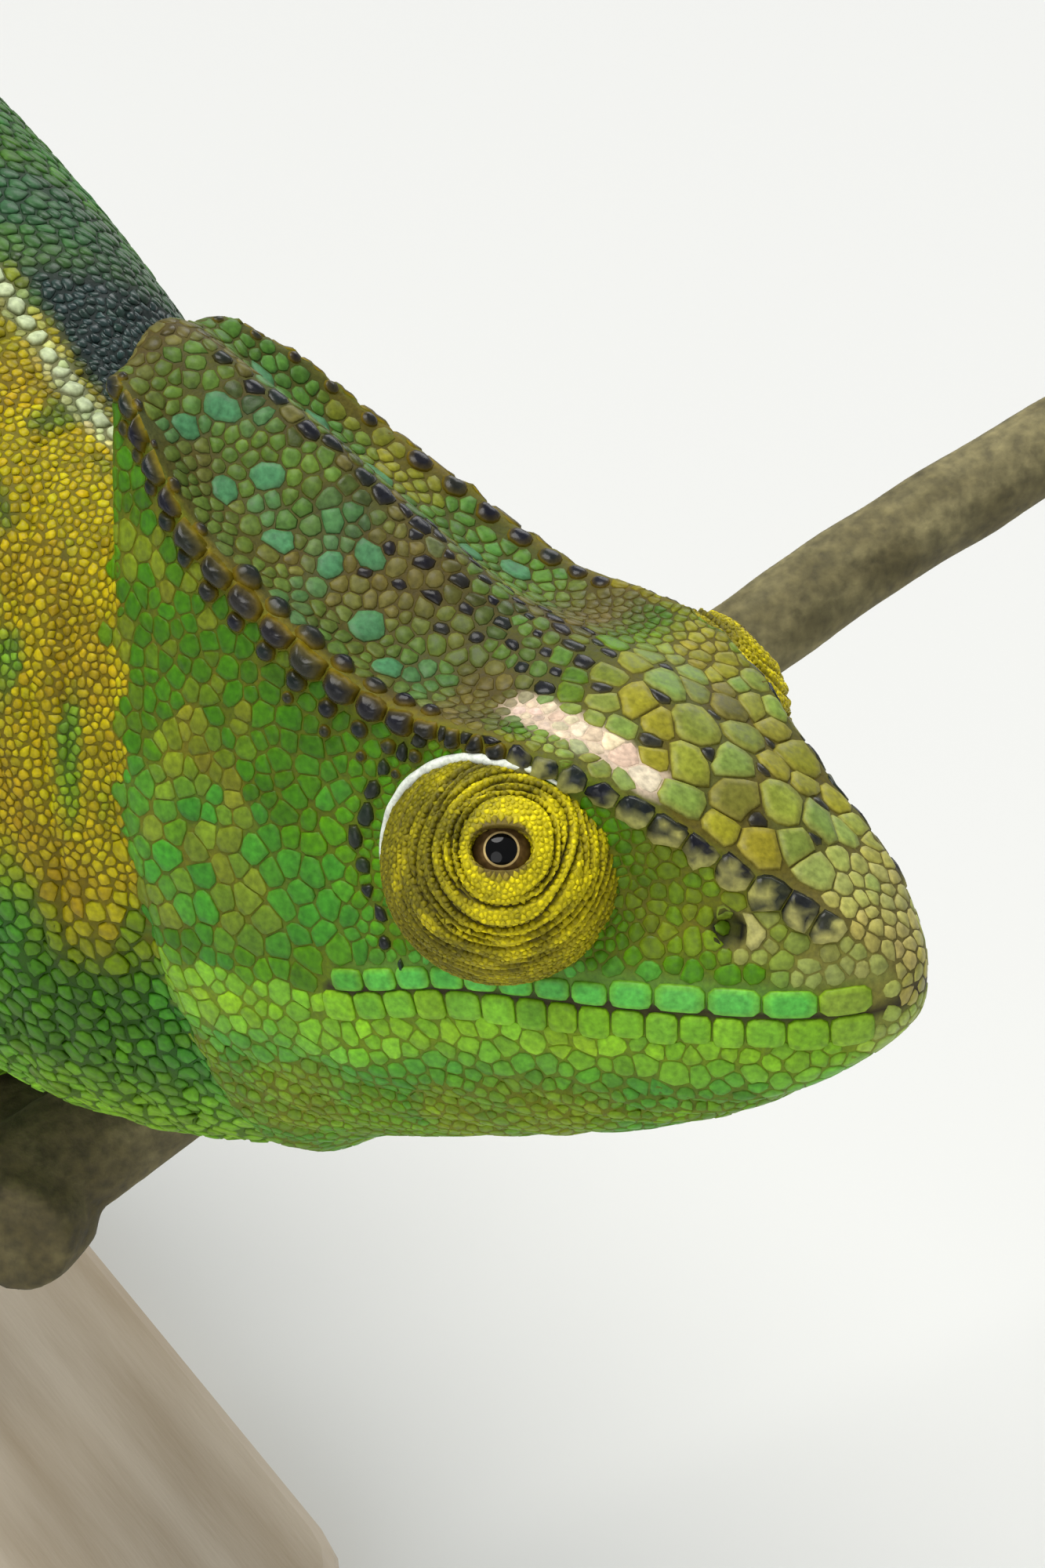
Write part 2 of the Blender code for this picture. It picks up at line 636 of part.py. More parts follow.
def build_leg(name, leg, skin):
    side, foot_x = leg["side"], leg["foot_x"]
    path = limb_path(leg)
    bend, wrist = limb_lengths(path, leg)
    stout = 1.15 if name.startswith("hind") else 1.0
    width = smooth_curve([(0, 8.4 * stout), (0.5 * bend, 7.0 * stout), (bend, 5.2 * stout),
                          (mix(bend, wrist, 0.4), 5.1 * stout), (wrist, 4.0), (path.length, 4.4)])
    upper_rings = tube_rings(path, 0.0, bend - GAP / 2, width, LIMB_SIDES, 6, faces=(None, bend))
    upper = loft(name + "_upper", upper_rings, skin)
    trunk = [body_length("trunk", 1.0, NECK_LENGTH + 3.0, 6, None, GAP),
             body_length("trunk", NECK_LENGTH - 1.0, TORSO_END + 3.0, 10, None, GAP),
             body_length("trunk", TORSO_END - 1.0, HIPS_END + 1.0, 7, None, GAP)]
    combine(upper, trunk, "DIFFERENCE")
    lower_rings = tube_rings(path, bend + GAP / 2, wrist - GAP / 2, width, LIMB_SIDES, 6, faces=(bend, wrist))
    loft(name + "_lower", lower_rings, skin)

    foot_rings = tube_rings(path, wrist + GAP / 2, path.length, width, LIMB_SIDES, 3, faces=(wrist, None))
    foot = loft(name + "_foot", foot_rings, skin)
    outward = Vector((0, math.sin(side * PALM_ANGLE), math.cos(side * PALM_ANGLE)))
    round_perch = Vector((0, outward.z, -outward.y))
    palm = around_perch(foot_x, side * PALM_ANGLE, PERCH_RADIUS + GAP + 3.0)
    pieces = [ball("palm", palm, (6.2, 5.6, 4.0), (Vector((1, 0, 0)), round_perch, outward), 6, 10)]
    for count, start, end in ((leg["toes_in"], 18, -64), (leg["toes_out"], 58, 138)):
        for k in range(count):
            offset = (k - (count - 1) / 2) * 3.7
            pieces += toe(foot_x + offset, side * math.radians(start), side * math.radians(end),
                          0.35 * offset)
    combine(foot, pieces, "UNION")
    shank_rings = tube_rings(path, bend, wrist + GAP / 2, lambda d: width(d) + GAP, LIMB_SIDES, 6,
                             faces=(bend, wrist))
    shank = loft("shank", shank_rings)
    core = tube_rings(Path([around_perch(foot_x - 20, 0, 0), around_perch(foot_x + 20, 0, 0)]),
                      0, 40, lambda d: PERCH_RADIUS + GAP, 16, 1)
    combine(foot, [shank, loft("core", core)], "DIFFERENCE")


# Perch: a stem under the body and a shoot that leaves it beneath the neck

def perch_stem_path():
    return Path([body_place(PERCH_REAR, 0.8, PERCH_Z - 0.5), body_place(-90, 0, PERCH_Z),
                 body_place(-40, 0, PERCH_Z), body_place(10, 0, PERCH_Z), body_place(28, 0, PERCH_Z),
                 body_place(34, -0.25, PERCH_Z), body_place(40, -3.0, PERCH_Z + 0.4),
                 body_place(45.5, -7.0, PERCH_Z + 1.0)])


def perch_shoot_path():
    return Path([body_place(40, -5.6, PERCH_Z + 1.1), body_place(39.5, 28, -42.0),
                 body_place(40, 67.5, -20.7), body_place(40, 95.9, -9.7), body_place(40.5, 109, -5.4)])


def build_perch(bark):
    stem = perch_stem_path()
    swell = smooth_curve([(0, 5.6), (2, PERCH_RADIUS), (stem.length - 14, PERCH_RADIUS),
                          (stem.length - 6, 6.3), (stem.length - 1, 5.4), (stem.length, 4.9)])
    loft("perch_stem", tube_rings(stem, 0, stem.length, swell, 14, 16), bark)
    shoot = perch_shoot_path()
    taper = smooth_curve([(0, 5.8), (12, 5.3), (80, 4.1), (shoot.length - 1.0, 3.8), (shoot.length, 3.4)])
    branch = loft("perch_shoot", tube_rings(shoot, 0, shoot.length, taper, 12, 12), bark)
    grown = loft("grown", tube_rings(stem, 0, stem.length, lambda d: swell(d) + GAP, 14, 16))
    combine(branch, [grown], "DIFFERENCE")


def build_stand(wood, steel):
    bm = bmesh.new()
    bmesh.ops.create_cube(bm, size=1.0)
    bmesh.ops.scale(bm, vec=(BASE_LENGTH, BASE_WIDTH, BASE_HEIGHT), verts=bm.verts)
    bmesh.ops.translate(bm, vec=(0, 0, BASE_HEIGHT / 2), verts=bm.verts)
    upright = [e for e in bm.edges if abs(e.verts[0].co.z - e.verts[1].co.z) > 1]
    bmesh.ops.bevel(bm, geom=upright, offset=BASE_CORNER, segments=6, profile=0.5, affect="EDGES")
    rim = [e for e in bm.edges if all(v.co.z > BASE_HEIGHT - 0.01 for v in e.verts) and len(e.link_faces) == 2
           and any(abs(f.normal.z) < 0.5 for f in e.link_faces)]
    bmesh.ops.bevel(bm, geom=rim, offset=1.6, segments=2, profile=0.5, affect="EDGES")
    mesh_object("stand_base", bm, wood)
    for word, station in ROD_STATIONS.items():
        foot = body_place(station, 0, 0)
        head = EYE_HEIGHT + PERCH_Z - PERCH_RADIUS - 2 * GAP
        bm = bmesh.new()
        depth = head - BASE_HEIGHT - GAP
        bmesh.ops.create_cone(bm, cap_ends=True, segments=20, radius1=ROD_RADIUS, radius2=ROD_RADIUS, depth=depth)
        bmesh.ops.translate(bm, vec=(foot.x, 0, BASE_HEIGHT + GAP + depth / 2), verts=bm.verts)
        mesh_object("stand_rod_" + word, bm, steel)


def shade(item):
    item.data.shade_smooth()
    item.data.set_sharp_from_angle(angle=math.radians(50))


def main():
    for item in list(bpy.data.objects):
        bpy.data.objects.remove(item)
    green = finish_material("scaled_skin", (0.10, 0.36, 0.05), 0.5)
    lid = finish_material("eyelid_skin", (0.42, 0.40, 0.03), 0.5)
    eye = finish_material("eye_gloss", (0.02, 0.015, 0.01), 0.08)
    bark = finish_material("perch_bark", (0.18, 0.12, 0.07), 0.85)
    wood = finish_material("stand_wood", (0.60, 0.50, 0.38), 0.45)
    steel = finish_material("rod_steel", (0.62, 0.62, 0.60), 0.3, 1.0)
    build_head(green)
    build_eyes(lid, eye)
    build_body(green)
    build_tail(green)
    for name, leg in LEGS.items():
        build_leg(name, leg, green)
    build_perch(bark)
    build_stand(wood, steel)
    for item in bpy.context.scene.objects:
        shade(item)


main()
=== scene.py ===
# %% [markdown]
# # A Parsons chameleon on a forked perch
#
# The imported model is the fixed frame: it says where the head, the legs, the perch and the
# stand are. This script gives it one skin without seams, some thirty thousand scales that
# are real closed plates, folded eyelids, claws, bark and a finished stand.

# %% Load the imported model
import math
from collections import namedtuple

import bpy
import bmesh
import numpy as np
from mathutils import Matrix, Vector
from mathutils.bvhtree import BVHTree
from mathutils.kdtree import KDTree


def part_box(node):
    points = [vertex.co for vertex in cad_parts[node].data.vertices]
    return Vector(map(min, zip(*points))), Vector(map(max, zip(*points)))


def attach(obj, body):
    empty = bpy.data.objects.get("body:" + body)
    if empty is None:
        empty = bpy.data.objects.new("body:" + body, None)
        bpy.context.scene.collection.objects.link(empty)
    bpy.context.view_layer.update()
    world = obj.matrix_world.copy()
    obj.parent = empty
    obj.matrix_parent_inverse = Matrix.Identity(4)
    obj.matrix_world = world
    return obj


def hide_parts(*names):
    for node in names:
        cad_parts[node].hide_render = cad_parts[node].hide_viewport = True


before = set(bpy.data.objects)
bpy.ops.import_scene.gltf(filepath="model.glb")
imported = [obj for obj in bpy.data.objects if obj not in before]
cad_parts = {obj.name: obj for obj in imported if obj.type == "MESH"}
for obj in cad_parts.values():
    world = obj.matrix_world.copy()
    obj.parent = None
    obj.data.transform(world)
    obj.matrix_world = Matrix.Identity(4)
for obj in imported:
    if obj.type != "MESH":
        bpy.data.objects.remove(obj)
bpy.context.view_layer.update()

# %% [markdown]
# ## Two frames
#
# All sizes are in millimetres, and only a finished mesh is turned into metres. The head
# is turned to the animal's left, so it has a frame of its own: x to the snout, y to the
# left, z up, with its origin midway between the eyes. Whatever belongs on both sides of
# the head is then written once and mirrored.

# %% Places in the part's frame and in the head's frame
MM = 0.001
BODY_SHIFT = 48.0                      # body frame's x = 0 in the part's frame
EYE_HEIGHT = 134.0
HEAD_X, HEAD_Y = 90.0, 21.7            # head frame's origin in the body frame
HEAD_YAW = math.radians(30.0)
TURN = np.array([[math.cos(HEAD_YAW), -math.sin(HEAD_YAW), 0.0],
                 [math.sin(HEAD_YAW), math.cos(HEAD_YAW), 0.0],
                 [0.0, 0.0, 1.0]])
HEAD_ORIGIN = np.array([HEAD_X + BODY_SHIFT, HEAD_Y, EYE_HEIGHT])
BODY_ORIGIN = np.array([BODY_SHIFT, 0.0, EYE_HEIGHT])


def from_head(points):
    return np.asarray(points, float) @ TURN.T + HEAD_ORIGIN


def to_head(points):
    return (np.asarray(points, float) - HEAD_ORIGIN) @ TURN


def from_body(points):
    return np.asarray(points, float) + BODY_ORIGIN


def unit(vectors):
    return vectors / np.maximum(np.linalg.norm(vectors, axis=-1, keepdims=True), 1e-9)


def mix(a, b, t):
    return a + (b - a) * t


def ease(t):
    """Smooth step from 0 to 1, for numbers and arrays."""
    t = np.clip(t, 0.0, 1.0)
    return t * t * (3 - 2 * t)


eye_box = np.mean(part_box("eye_right"), axis=0) / MM
print("right eye in the head frame:", to_head(eye_box).round(1))

# %% [markdown]
# ## Curves
#
# A body part is described by a few curves, such as its height and its width along its
# length. Each curve goes smoothly through a handful of named sizes and never overshoots
# them, so a lip stays a lip.

# %% Smooth curves through a few sizes


def smooth_curve(table):
    """Return a function that reads a smooth curve through (station, value) pairs."""
    xs, ys = np.array(sorted(table), float).T
    steps = np.diff(ys) / np.diff(xs)
    before, after = steps[:-1], steps[1:]
    rising = before * after > 0
    total = np.where(rising, before + after, 1.0)
    inner = np.where(rising, 2 * before * after / total, 0.0)
    slopes = np.concatenate(([steps[0]], inner, [steps[-1]]))

    def read(x):
        x = np.clip(x, xs[0], xs[-1])
        i = np.clip(np.searchsorted(xs, x, side="right") - 1, 0, len(xs) - 2)
        h = xs[i + 1] - xs[i]
        t = (x - xs[i]) / h
        rise = (1 + 2 * t) * (1 - t) ** 2 * ys[i] + t * (1 - t) ** 2 * h * slopes[i]
        return rise + t * t * (3 - 2 * t) * ys[i + 1] - t * t * (1 - t) * h * slopes[i + 1]
    return read


def rounded(points, count, closed=False):
    """Read a row of points as a rounded line of count points."""
    p = np.asarray(points, float)
    n = len(p)
    if closed:
        t = np.arange(count) * n / count
        i = t.astype(int)
        a, b, c, d = p[i - 1], p[i], p[(i + 1) % n], p[(i + 2) % n]
    else:
        t = np.linspace(0, n - 1, count)
        i = np.minimum(t.astype(int), n - 2)
        padded = np.vstack([2 * p[0] - p[1], p, 2 * p[-1] - p[-2]])
        a, b, c, d = padded[i], padded[i + 1], padded[i + 2], padded[i + 3]
    f = (t - i)[:, None]
    return 0.5 * (2 * b + (c - a) * f + (2 * a - 5 * b + 4 * c - d) * f * f
                  + (3 * b - 3 * c + d - a) * f ** 3)


# %% [markdown]
# ## Forms under the skin
#
# Head, trunk, tail, limbs and toes are each a loft: rings of points joined by the bridge
# operator and closed at both ends. They overlap freely, because the skin is then wrapped
# round all of them at once. The tail's turns lie close, so they are moved apart for the
# wrap and back afterwards. Each form also remembers where along and around it a point
# lies. That is the skin's own unwrap, and the scales' patches on the UV map use it.

# %% Lofts and the list of forms
forms = bmesh.new()
form_points = []                       # points of every form
form_places = []                       # share around and share along for each of them
form_names = []


def loft(target, rings):
    """Join rings of points into one closed surface in the target bmesh."""
    loops = []
    for ring in rings:
        circle = bmesh.ops.create_circle(target, segments=len(ring))["verts"]
        for vert, point in zip(circle, ring):
            vert.co = point
        loops.append(circle)
    edges = [list({edge for vert in circle for edge in vert.link_edges}) for circle in loops]
    for first, second in zip(edges, edges[1:]):
        bmesh.ops.bridge_loops(target, edges=first + second)
    for circle in (loops[0], loops[-1]):
        bmesh.ops.contextual_create(target, geom=circle)
    return [vert for circle in loops for vert in circle]


def add_form(name, rings, shift=0.0):
    """Keep a form. It is lofted this far to the side of its true place."""
    rings = np.asarray(rings)
    loft(forms, rings + shift)
    count, sides = rings.shape[:2]
    along, around = np.mgrid[0:count, 0:sides]
    form_points.append(rings.reshape(-1, 3))
    form_places.append(np.stack([around.ravel() / sides, along.ravel() / (count - 1)], axis=1))
    form_names.extend([name] * (count * sides))


# %% [markdown]
# ## Head
#
# A Parsons chameleon has a tall casque that leans back, two rows of tubercles that meet
# over the snout, a flat muzzle and a deep jaw. Eleven curves give these by station, from
# the back of the casque to the tip of the snout.

# %% Head curves and sections
HEAD_REAR = -28.6
REAR_SLANT = 0.24
SLANT_START, SLANT_SPAN, SLANT_LEVEL = -10.0, 18.0, -8.0
MOUTH_CORNER = -11.0
MOUTH_DEPTH = 0.7
SNOUT_TIP = 30.0
RING_POINTS = 96

ridge_z = smooth_curve([(30.0, -4.4), (29.3, -2.8), (28.1, -1.2), (24.8, 1.9), (18.3, 6.9), (11.8, 10.3),
                        (6, 12.8), (0, 14.3), (-5, 15.6), (-9, 17.7), (-14.5, 21.5), (-18, 25.1),
                        (-22, 28.8), (-25.8, 31.2), (-28.6, 31.4)])
crest_z = smooth_curve([(30.0, -4.6), (29.3, -3.1), (28.1, -1.7), (25.5, 1.0), (21.7, 3.1), (17.3, 5.6),
                        (14.4, 7.5), (10.9, 9.7), (5.5, 11.9), (0, 12.7), (-5.7, 12.9), (-11.5, 14.5),
                        (-16.5, 17.9), (-20.7, 21.8), (-23.3, 26.2), (-26, 29.3), (-28.6, 30.0)])
crest_y = smooth_curve([(30.0, 0.9), (29.3, 1.9), (28.1, 2.9), (25.7, 4.7), (21.7, 6.3), (17.3, 7.8),
                        (14.4, 8.9), (10.9, 10.4), (5.9, 12.0), (0, 13.0), (-6, 13.4), (-12, 13.5),
                        (-16.5, 13.2), (-20.7, 12.2), (-23.3, 10.4), (-26, 7.6), (-28.6, 6.2)])
flank_y = smooth_curve([(30.0, 1.1), (29.3, 2.5), (28.1, 3.9), (25.1, 5.9), (21.3, 7.4), (17.5, 8.5),
                        (13.7, 9.6), (9.9, 10.8), (5, 12.4), (0, 13.6), (-6, 15.0), (-12, 15.9),
                        (-20, 16.5), (-28.6, 16.2)])
lip_y = smooth_curve([(30.0, 1.2), (29.3, 2.9), (28.1, 4.4), (25.1, 6.9), (21.3, 9.1), (17.5, 10.8),
                      (13.7, 12.4), (9.9, 13.8), (5, 15.1), (0, 16.1), (-6, 16.9), (-12, 17.4),
                      (-20, 17.6), (-28.6, 16.8)])
lip_z = smooth_curve([(30.0, -6.2), (27.0, -6.6), (23.0, -6.8), (15.3, -6.9), (10.5, -7.0), (3.6, -7.3),
                      (-1.3, -8.0), (-10, -10.4), (-28.6, -12.0)])
jaw_y = smooth_curve([(30.0, 1.0), (29.3, 2.5), (28.1, 3.7), (25.1, 6.0), (21.3, 8.2), (16.6, 10.4),
                      (11.8, 12.2), (6, 13.9), (0, 15.2), (-10, 16.5), (-20, 16.4), (-28.6, 15.4)])
jaw_z = smooth_curve([(30.0, -7.9), (29.3, -9.0), (27.0, -11.1), (22.3, -13.3), (11.8, -15.5), (0, -17.0),
                      (-10, -18.4), (-28.6, -21.0)])
throat_z = smooth_curve([(30.0, -8.3), (29.3, -9.7), (28.0, -11.3), (23.2, -15.6), (17.5, -19.8),
                         (7.5, -24.6), (-5.7, -29.4), (-19, -34.2), (-28.6, -37.6)])
casque_hollow = smooth_curve([(30.0, 0.0), (4, 0.25), (-6, 0.8), (-12, 1.0), (-22, 1.0), (-28.6, 0.4)])
rear_round = smooth_curve([(30.0, 1.0), (-27, 1.0), (-28.0, 0.98), (-28.6, 0.93)])


def lean(station, z):
    """Lengthwise place of a point of a station: the rear ones lean back."""
    return station - REAR_SLANT * ease((SLANT_START - station) / SLANT_SPAN) * (z - SLANT_LEVEL)


def station_of(x, z):
    """The station that a place in the head frame belongs to."""
    station = np.asarray(x, float)
    for _ in range(6):
        station = x + REAR_SLANT * ease((SLANT_START - station) / SLANT_SPAN) * (z - SLANT_LEVEL)
    return station


def near_half(h):
    """Places in the head frame with the right half laid on the left, and their stations."""
    x, y, z = h[:, 0], np.abs(h[:, 1]), h[:, 2]
    return x, y, z, station_of(x, z)


def head_half(station):
    """Half a section, from the middle of the crown down to the throat."""
    top, edge_z, edge_y = ridge_z(station), crest_z(station), crest_y(station)
    flank, lip, mouth = flank_y(station), lip_y(station), lip_z(station)
    jaw, chin, low = jaw_y(station), jaw_z(station), throat_z(station)
    hollow = casque_hollow(station)
    groove = MOUTH_DEPTH * ease((station - MOUTH_CORNER) / 4) * ease((SNOUT_TIP - station + 0.4) / 1.5)
    snug = min(1.0, (edge_z - mouth) / 8.0)
    below = min(1.0, (mouth - chin) / 5.0)
    brow = edge_z - 1.5 * snug
    cheek = min(0.0, edge_z - 2.6 * snug)
    return [(0.0, top),
            (0.30 * edge_y, mix(top, edge_z, 0.22) - 0.2 * hollow),
            (0.62 * edge_y, mix(top, edge_z, 0.66) - hollow),
            (0.88 * edge_y, edge_z - 0.15 * hollow),
            (edge_y, edge_z),
            (edge_y + 0.1, brow),
            (mix(edge_y, flank, 0.45), mix(brow, cheek, 0.4)),
            (flank, cheek),
            (mix(flank, lip, 0.75), mix(mouth, cheek, 0.42)),
            (lip, mouth + 0.5 * snug),
            (lip - groove, mouth),
            (lip, mouth - 0.5 * below),
            (mix(lip, jaw, 0.4), mix(mouth, chin, 0.55)),
            (jaw, chin),
            (0.82 * jaw, mix(chin, low, 0.48)),
            (0.46 * jaw, mix(chin, low, 0.84)),
            (0.0, low)]


def head_ring(station):
    half = head_half(station)
    whole = half + [(-y, z) for y, z in reversed(half[1:-1])]
    ring = rounded(whole, RING_POINTS, closed=True)
    scale = rear_round(station)
    z = SLANT_LEVEL + (ring[:, 1] - SLANT_LEVEL) * scale
    return from_head(np.stack([lean(station, z), -ring[:, 0] * scale, z], axis=1))


KEY_STATIONS = (30.0, 29.3, 28.1, 26.4, 24.2, 21.3, 18.4, 15.6, 12.8, 9.9, 7.0, 4.0, 1.0, -2.0,
                -5.0, -8.0, -11.0, -13.5, -16.0, -18.5, -20.7, -22.8, -25.0, -27.0, -28.0, -28.6)
stations = rounded(np.array(KEY_STATIONS)[:, None], 2 * len(KEY_STATIONS) - 1)[:, 0]
add_form("head", [head_ring(station) for station in stations])
print("head:", len(stations), "rings of", RING_POINTS, "points")

# %% [markdown]
# ## Trunk
#
# Behind the head the trunk is one deep, leaf-shaped body. Its middle line starts in the
# head's direction and turns into the body's, and the sections fade into the tail's root.

# %% Trunk from the neck to the root of the tail
NECK_LENGTH = 37.0
BODY_END = 159.0
GAP = 0.3
TRUNK_STEP = 1.6
TRUNK_POINTS = 84
BACK_FULLNESS, BELLY_FULLNESS = 0.8, 0.9
body_top = smooth_curve([(0, 18.6), (8, 20.6), (18, 23.2), (37, 27.2), (54, 29.8), (74, 31.2),
                         (98, 29.8), (122, 24.4), (144, 14.8), (159, 7.6)])
body_low = smooth_curve([(0, -36.6), (8, -39.0), (18, -41.0), (37, -43.2), (54, -44.2), (74, -44.8),
                         (98, -43.4), (120, -37.4), (142, -26.2), (159, -17.6)])
body_width = smooth_curve([(0, 15.3), (8, 17.6), (18, 20.4), (37, 22.8), (54, 23.6), (74, 24.0),
                           (98, 22.6), (122, 19.0), (144, 13.6), (159, 10.2)])


def body_axis(distance):
    """Place, heading and lean of the trunk's middle line, this far behind the head."""
    rear = HEAD_REAR - GAP
    start = np.array([HEAD_X + math.cos(HEAD_YAW) * rear, HEAD_Y + math.sin(HEAD_YAW) * rear])
    end = np.array([30.0, 0.0])
    if distance >= NECK_LENGTH:
        return end + np.array([NECK_LENGTH - distance, 0.0]), 0.0, 0.0
    t = distance / NECK_LENGTH
    leave = -np.array([math.cos(HEAD_YAW), math.sin(HEAD_YAW)]) * NECK_LENGTH
    arrive = np.array([-1.0, 0.0]) * NECK_LENGTH
    place = ((1 + 2 * t) * (1 - t) ** 2 * start + t * (1 - t) ** 2 * leave
             + t * t * (3 - 2 * t) * end - t * t * (1 - t) * arrive)
    return place, HEAD_YAW * (1 - ease(t)), REAR_SLANT * (1 - ease(t))


def body_ring(distance, forward=0.0, shrink=1.0):
    place, turn, slant = body_axis(distance)
    top, low = body_top(distance), body_low(distance)
    angle = 2 * math.pi * np.arange(TRUNK_POINTS) / TRUNK_POINTS
    rise = np.cos(angle)
    fullness = mix(BELLY_FULLNESS, BACK_FULLNESS, ease(0.5 + rise))
    side = np.sign(np.sin(angle)) * np.abs(np.sin(angle)) ** fullness
    z = (top + low) / 2 + shrink * (top - low) / 2 * rise
    y = shrink * body_width(distance) * side * (1 + 0.06 * rise)
    back = forward - slant * (z - SLANT_LEVEL)
    x_place = place[0] + math.cos(turn) * back - math.sin(turn) * y
    y_place = place[1] + math.sin(turn) * back + math.cos(turn) * y
    return from_body(np.stack([x_place, y_place, z], axis=1))


trunk_marks = np.linspace(0.0, BODY_END, int(BODY_END / TRUNK_STEP))
trunk_rings = [body_ring(0.0, 4.0, 0.9)] + [body_ring(d) for d in trunk_marks]
add_form("trunk", trunk_rings)
print("trunk:", len(trunk_rings), "rings")

# %% [markdown]
# ## Tail
#
# The tail runs down from the hips and rolls up into a watch-spring coil. The coil is a
# spiral that shrinks by the same factor each turn, so the tail's own thickness can follow
# the spiral's radius and the turns never touch.

# %% Tail path, thickness and rings
COIL_X, COIL_Z, COIL_RADIUS = -148.0, -88.0, 30.0
COIL_START, COIL_TURN = math.radians(112), math.radians(800)
COIL_SHRINK = math.log(1.92) / (2 * math.pi)
TAIL_ROOT, TAIL_ROUND, TAIL_FLAT = 12.3, 0.265, 0.8
TAIL_REACH = 26.0
TAIL_PULL = 30.0
TIP_LENGTH, TIP_SHARE, TIP_RADIUS = 26.0, 0.45, 0.9    # the end of the tail thins faster


class Way:
    """A line of points read by the distance along it."""

    def __init__(self, points):
        self.points = np.asarray(points, float)
        steps = np.linalg.norm(np.diff(self.points, axis=0), axis=1)
        self.marks = np.concatenate(([0.0], np.cumsum(steps)))
        self.length = self.marks[-1]

    def at(self, distance):
        distance = np.clip(distance, 0, self.length)
        return np.stack([np.interp(distance, self.marks, self.points[:, k]) for k in range(3)], axis=-1)

    def rings(self, distances, radius, sides, flat=1.0, across=None):
        """Rings round the line that keep their twist from one to the next."""
        centres = self.at(distances)
        heads = unit(self.at(distances + 0.6) - self.at(distances - 0.6))
        if across is None:
            across = np.cross(heads[0], [0.3, 0.5, 0.81])
        angle = 2 * math.pi * np.arange(sides) / sides
        rings = []
        for centre, forward, r in zip(centres, heads, radius):
            across = unit(across - forward * (across @ forward))
            other = np.cross(forward, across)
            oval = flat * np.cos(angle)[:, None] * across + np.sin(angle)[:, None] * other
            rings.append(centre + r * oval)
        return rings


def tail_way():
    start = np.array([30.0 - (BODY_END - NECK_LENGTH), 0.0, (body_top(BODY_END) + body_low(BODY_END)) / 2])
    angle = np.linspace(0, COIL_TURN, 260)
    radius = COIL_RADIUS * np.exp(-COIL_SHRINK * angle)
    coil = np.stack([COIL_X + radius * np.cos(COIL_START + angle), 0 * angle,
                     COIL_Z + radius * np.sin(COIL_START + angle)], axis=1)
    first = start - np.array([TAIL_REACH, 0.0, 0.0])
    second = coil[0] - unit(coil[1] - coil[0]) * TAIL_PULL
    t = np.linspace(0, 1, 96, endpoint=False)[:, None]
    run = ((1 - t) ** 3 * start + 3 * t * (1 - t) ** 2 * first
           + 3 * t * t * (1 - t) * second + t ** 3 * coil[0])
    return Way(from_body(np.vstack([run, coil]))), len(run)


tail, coil_index = tail_way()
coil_mark = tail.marks[coil_index]
tail_marks = np.linspace(0.0, tail.length - 0.5, 230)
ring_radius = COIL_RADIUS - (tail_marks - coil_mark) * COIL_SHRINK / math.hypot(1, COIL_SHRINK)
thinning = mix(TIP_SHARE, 1.0, np.minimum(1.0, (tail.length - tail_marks) / TIP_LENGTH))
coil_radius = np.maximum(TAIL_ROUND * ring_radius * thinning, TIP_RADIUS)
run_radius = mix(TAIL_ROOT, TAIL_ROUND * COIL_RADIUS, ease(tail_marks / coil_mark) ** 0.8)
tail_radius = np.where(tail_marks < coil_mark, run_radius, coil_radius)
tail_rings = tail.rings(tail_marks, tail_radius, 32, TAIL_FLAT, np.array([0.0, 1.0, 0.0]))
root_ring = tail_rings[0] * 0.9 + tail_rings[0].mean(axis=0) * 0.1 + np.array([5.0, 0.0, 0.0])
COIL_LIFT = 8.0                        # sideways shift of each turn while the skin is wrapped


def coil_shift(marks):
    """Shift of the coil at these distances, which keeps the wrap from bridging two turns."""
    steps = np.maximum(0, np.arange(len(tail.marks)) - coil_index) / (len(tail.marks) - 1 - coil_index)
    turns = np.interp(marks, tail.marks, steps) * COIL_TURN / (2 * math.pi)
    return (COIL_LIFT * turns * ease(2 * turns))[:, None] * np.array([0.0, 1.0, 0.0])


tail_shift = coil_shift(np.concatenate(([0.0], tail_marks)))
add_form("tail", [root_ring] + tail_rings, tail_shift[:, None])
print("tail: %.0f mm long" % tail.length)

# %% [markdown]
# ## Limbs and grasping feet
#
# A chameleon's toes are fused into two bundles that close round the perch like tongs:
# three inside and two outside on the front feet, the other way round on the hind feet.
# Each limb is one bent tube, and each toe a short one that follows the perch's round.

# %% Limbs, palms and toes
PERCH_Z, PERCH_RADIUS = -58.0, 6.0
PALM_ANGLE = math.radians(38)
TOE_RADIUS = 2.15
TOE_SPACING = 3.7
CLAW_LENGTH = 3.6
LIMB_ROUNDING = 8.5
PALM_LONG, PALM_WIDE, PALM_THICK = 6.2, 5.6, 4.0
PALM_RISE, WRIST_RISE = 3.0, 4.2       # over the perch's surface
LEGS = {"fore_right": {"side": -1, "foot_x": 25.0, "toes": (3, 2), "stout": 1.0,
                       "joints": ((34, -8, -16), (9, -33, -31), (20, -15.5, -45))},
        "fore_left": {"side": 1, "foot_x": 2.0, "toes": (3, 2), "stout": 1.0,
                      "joints": ((34, 8, -16), (3, 34, -29), (4, 15.5, -45))},
        "hind_right": {"side": -1, "foot_x": -54.0, "toes": (2, 3), "stout": 1.15,
                       "joints": ((-78, -5, -6), (-46, -34, -19), (-58, -15.5, -45))},
        "hind_left": {"side": 1, "foot_x": -83.0, "toes": (2, 3), "stout": 1.15,
                      "joints": ((-78, 5, -6), (-62, 37, -20), (-86, 15.5, -45))}}
TOE_ENDS = ((18, -64), (58, 138))      # degrees from the perch's top, where toes start and end


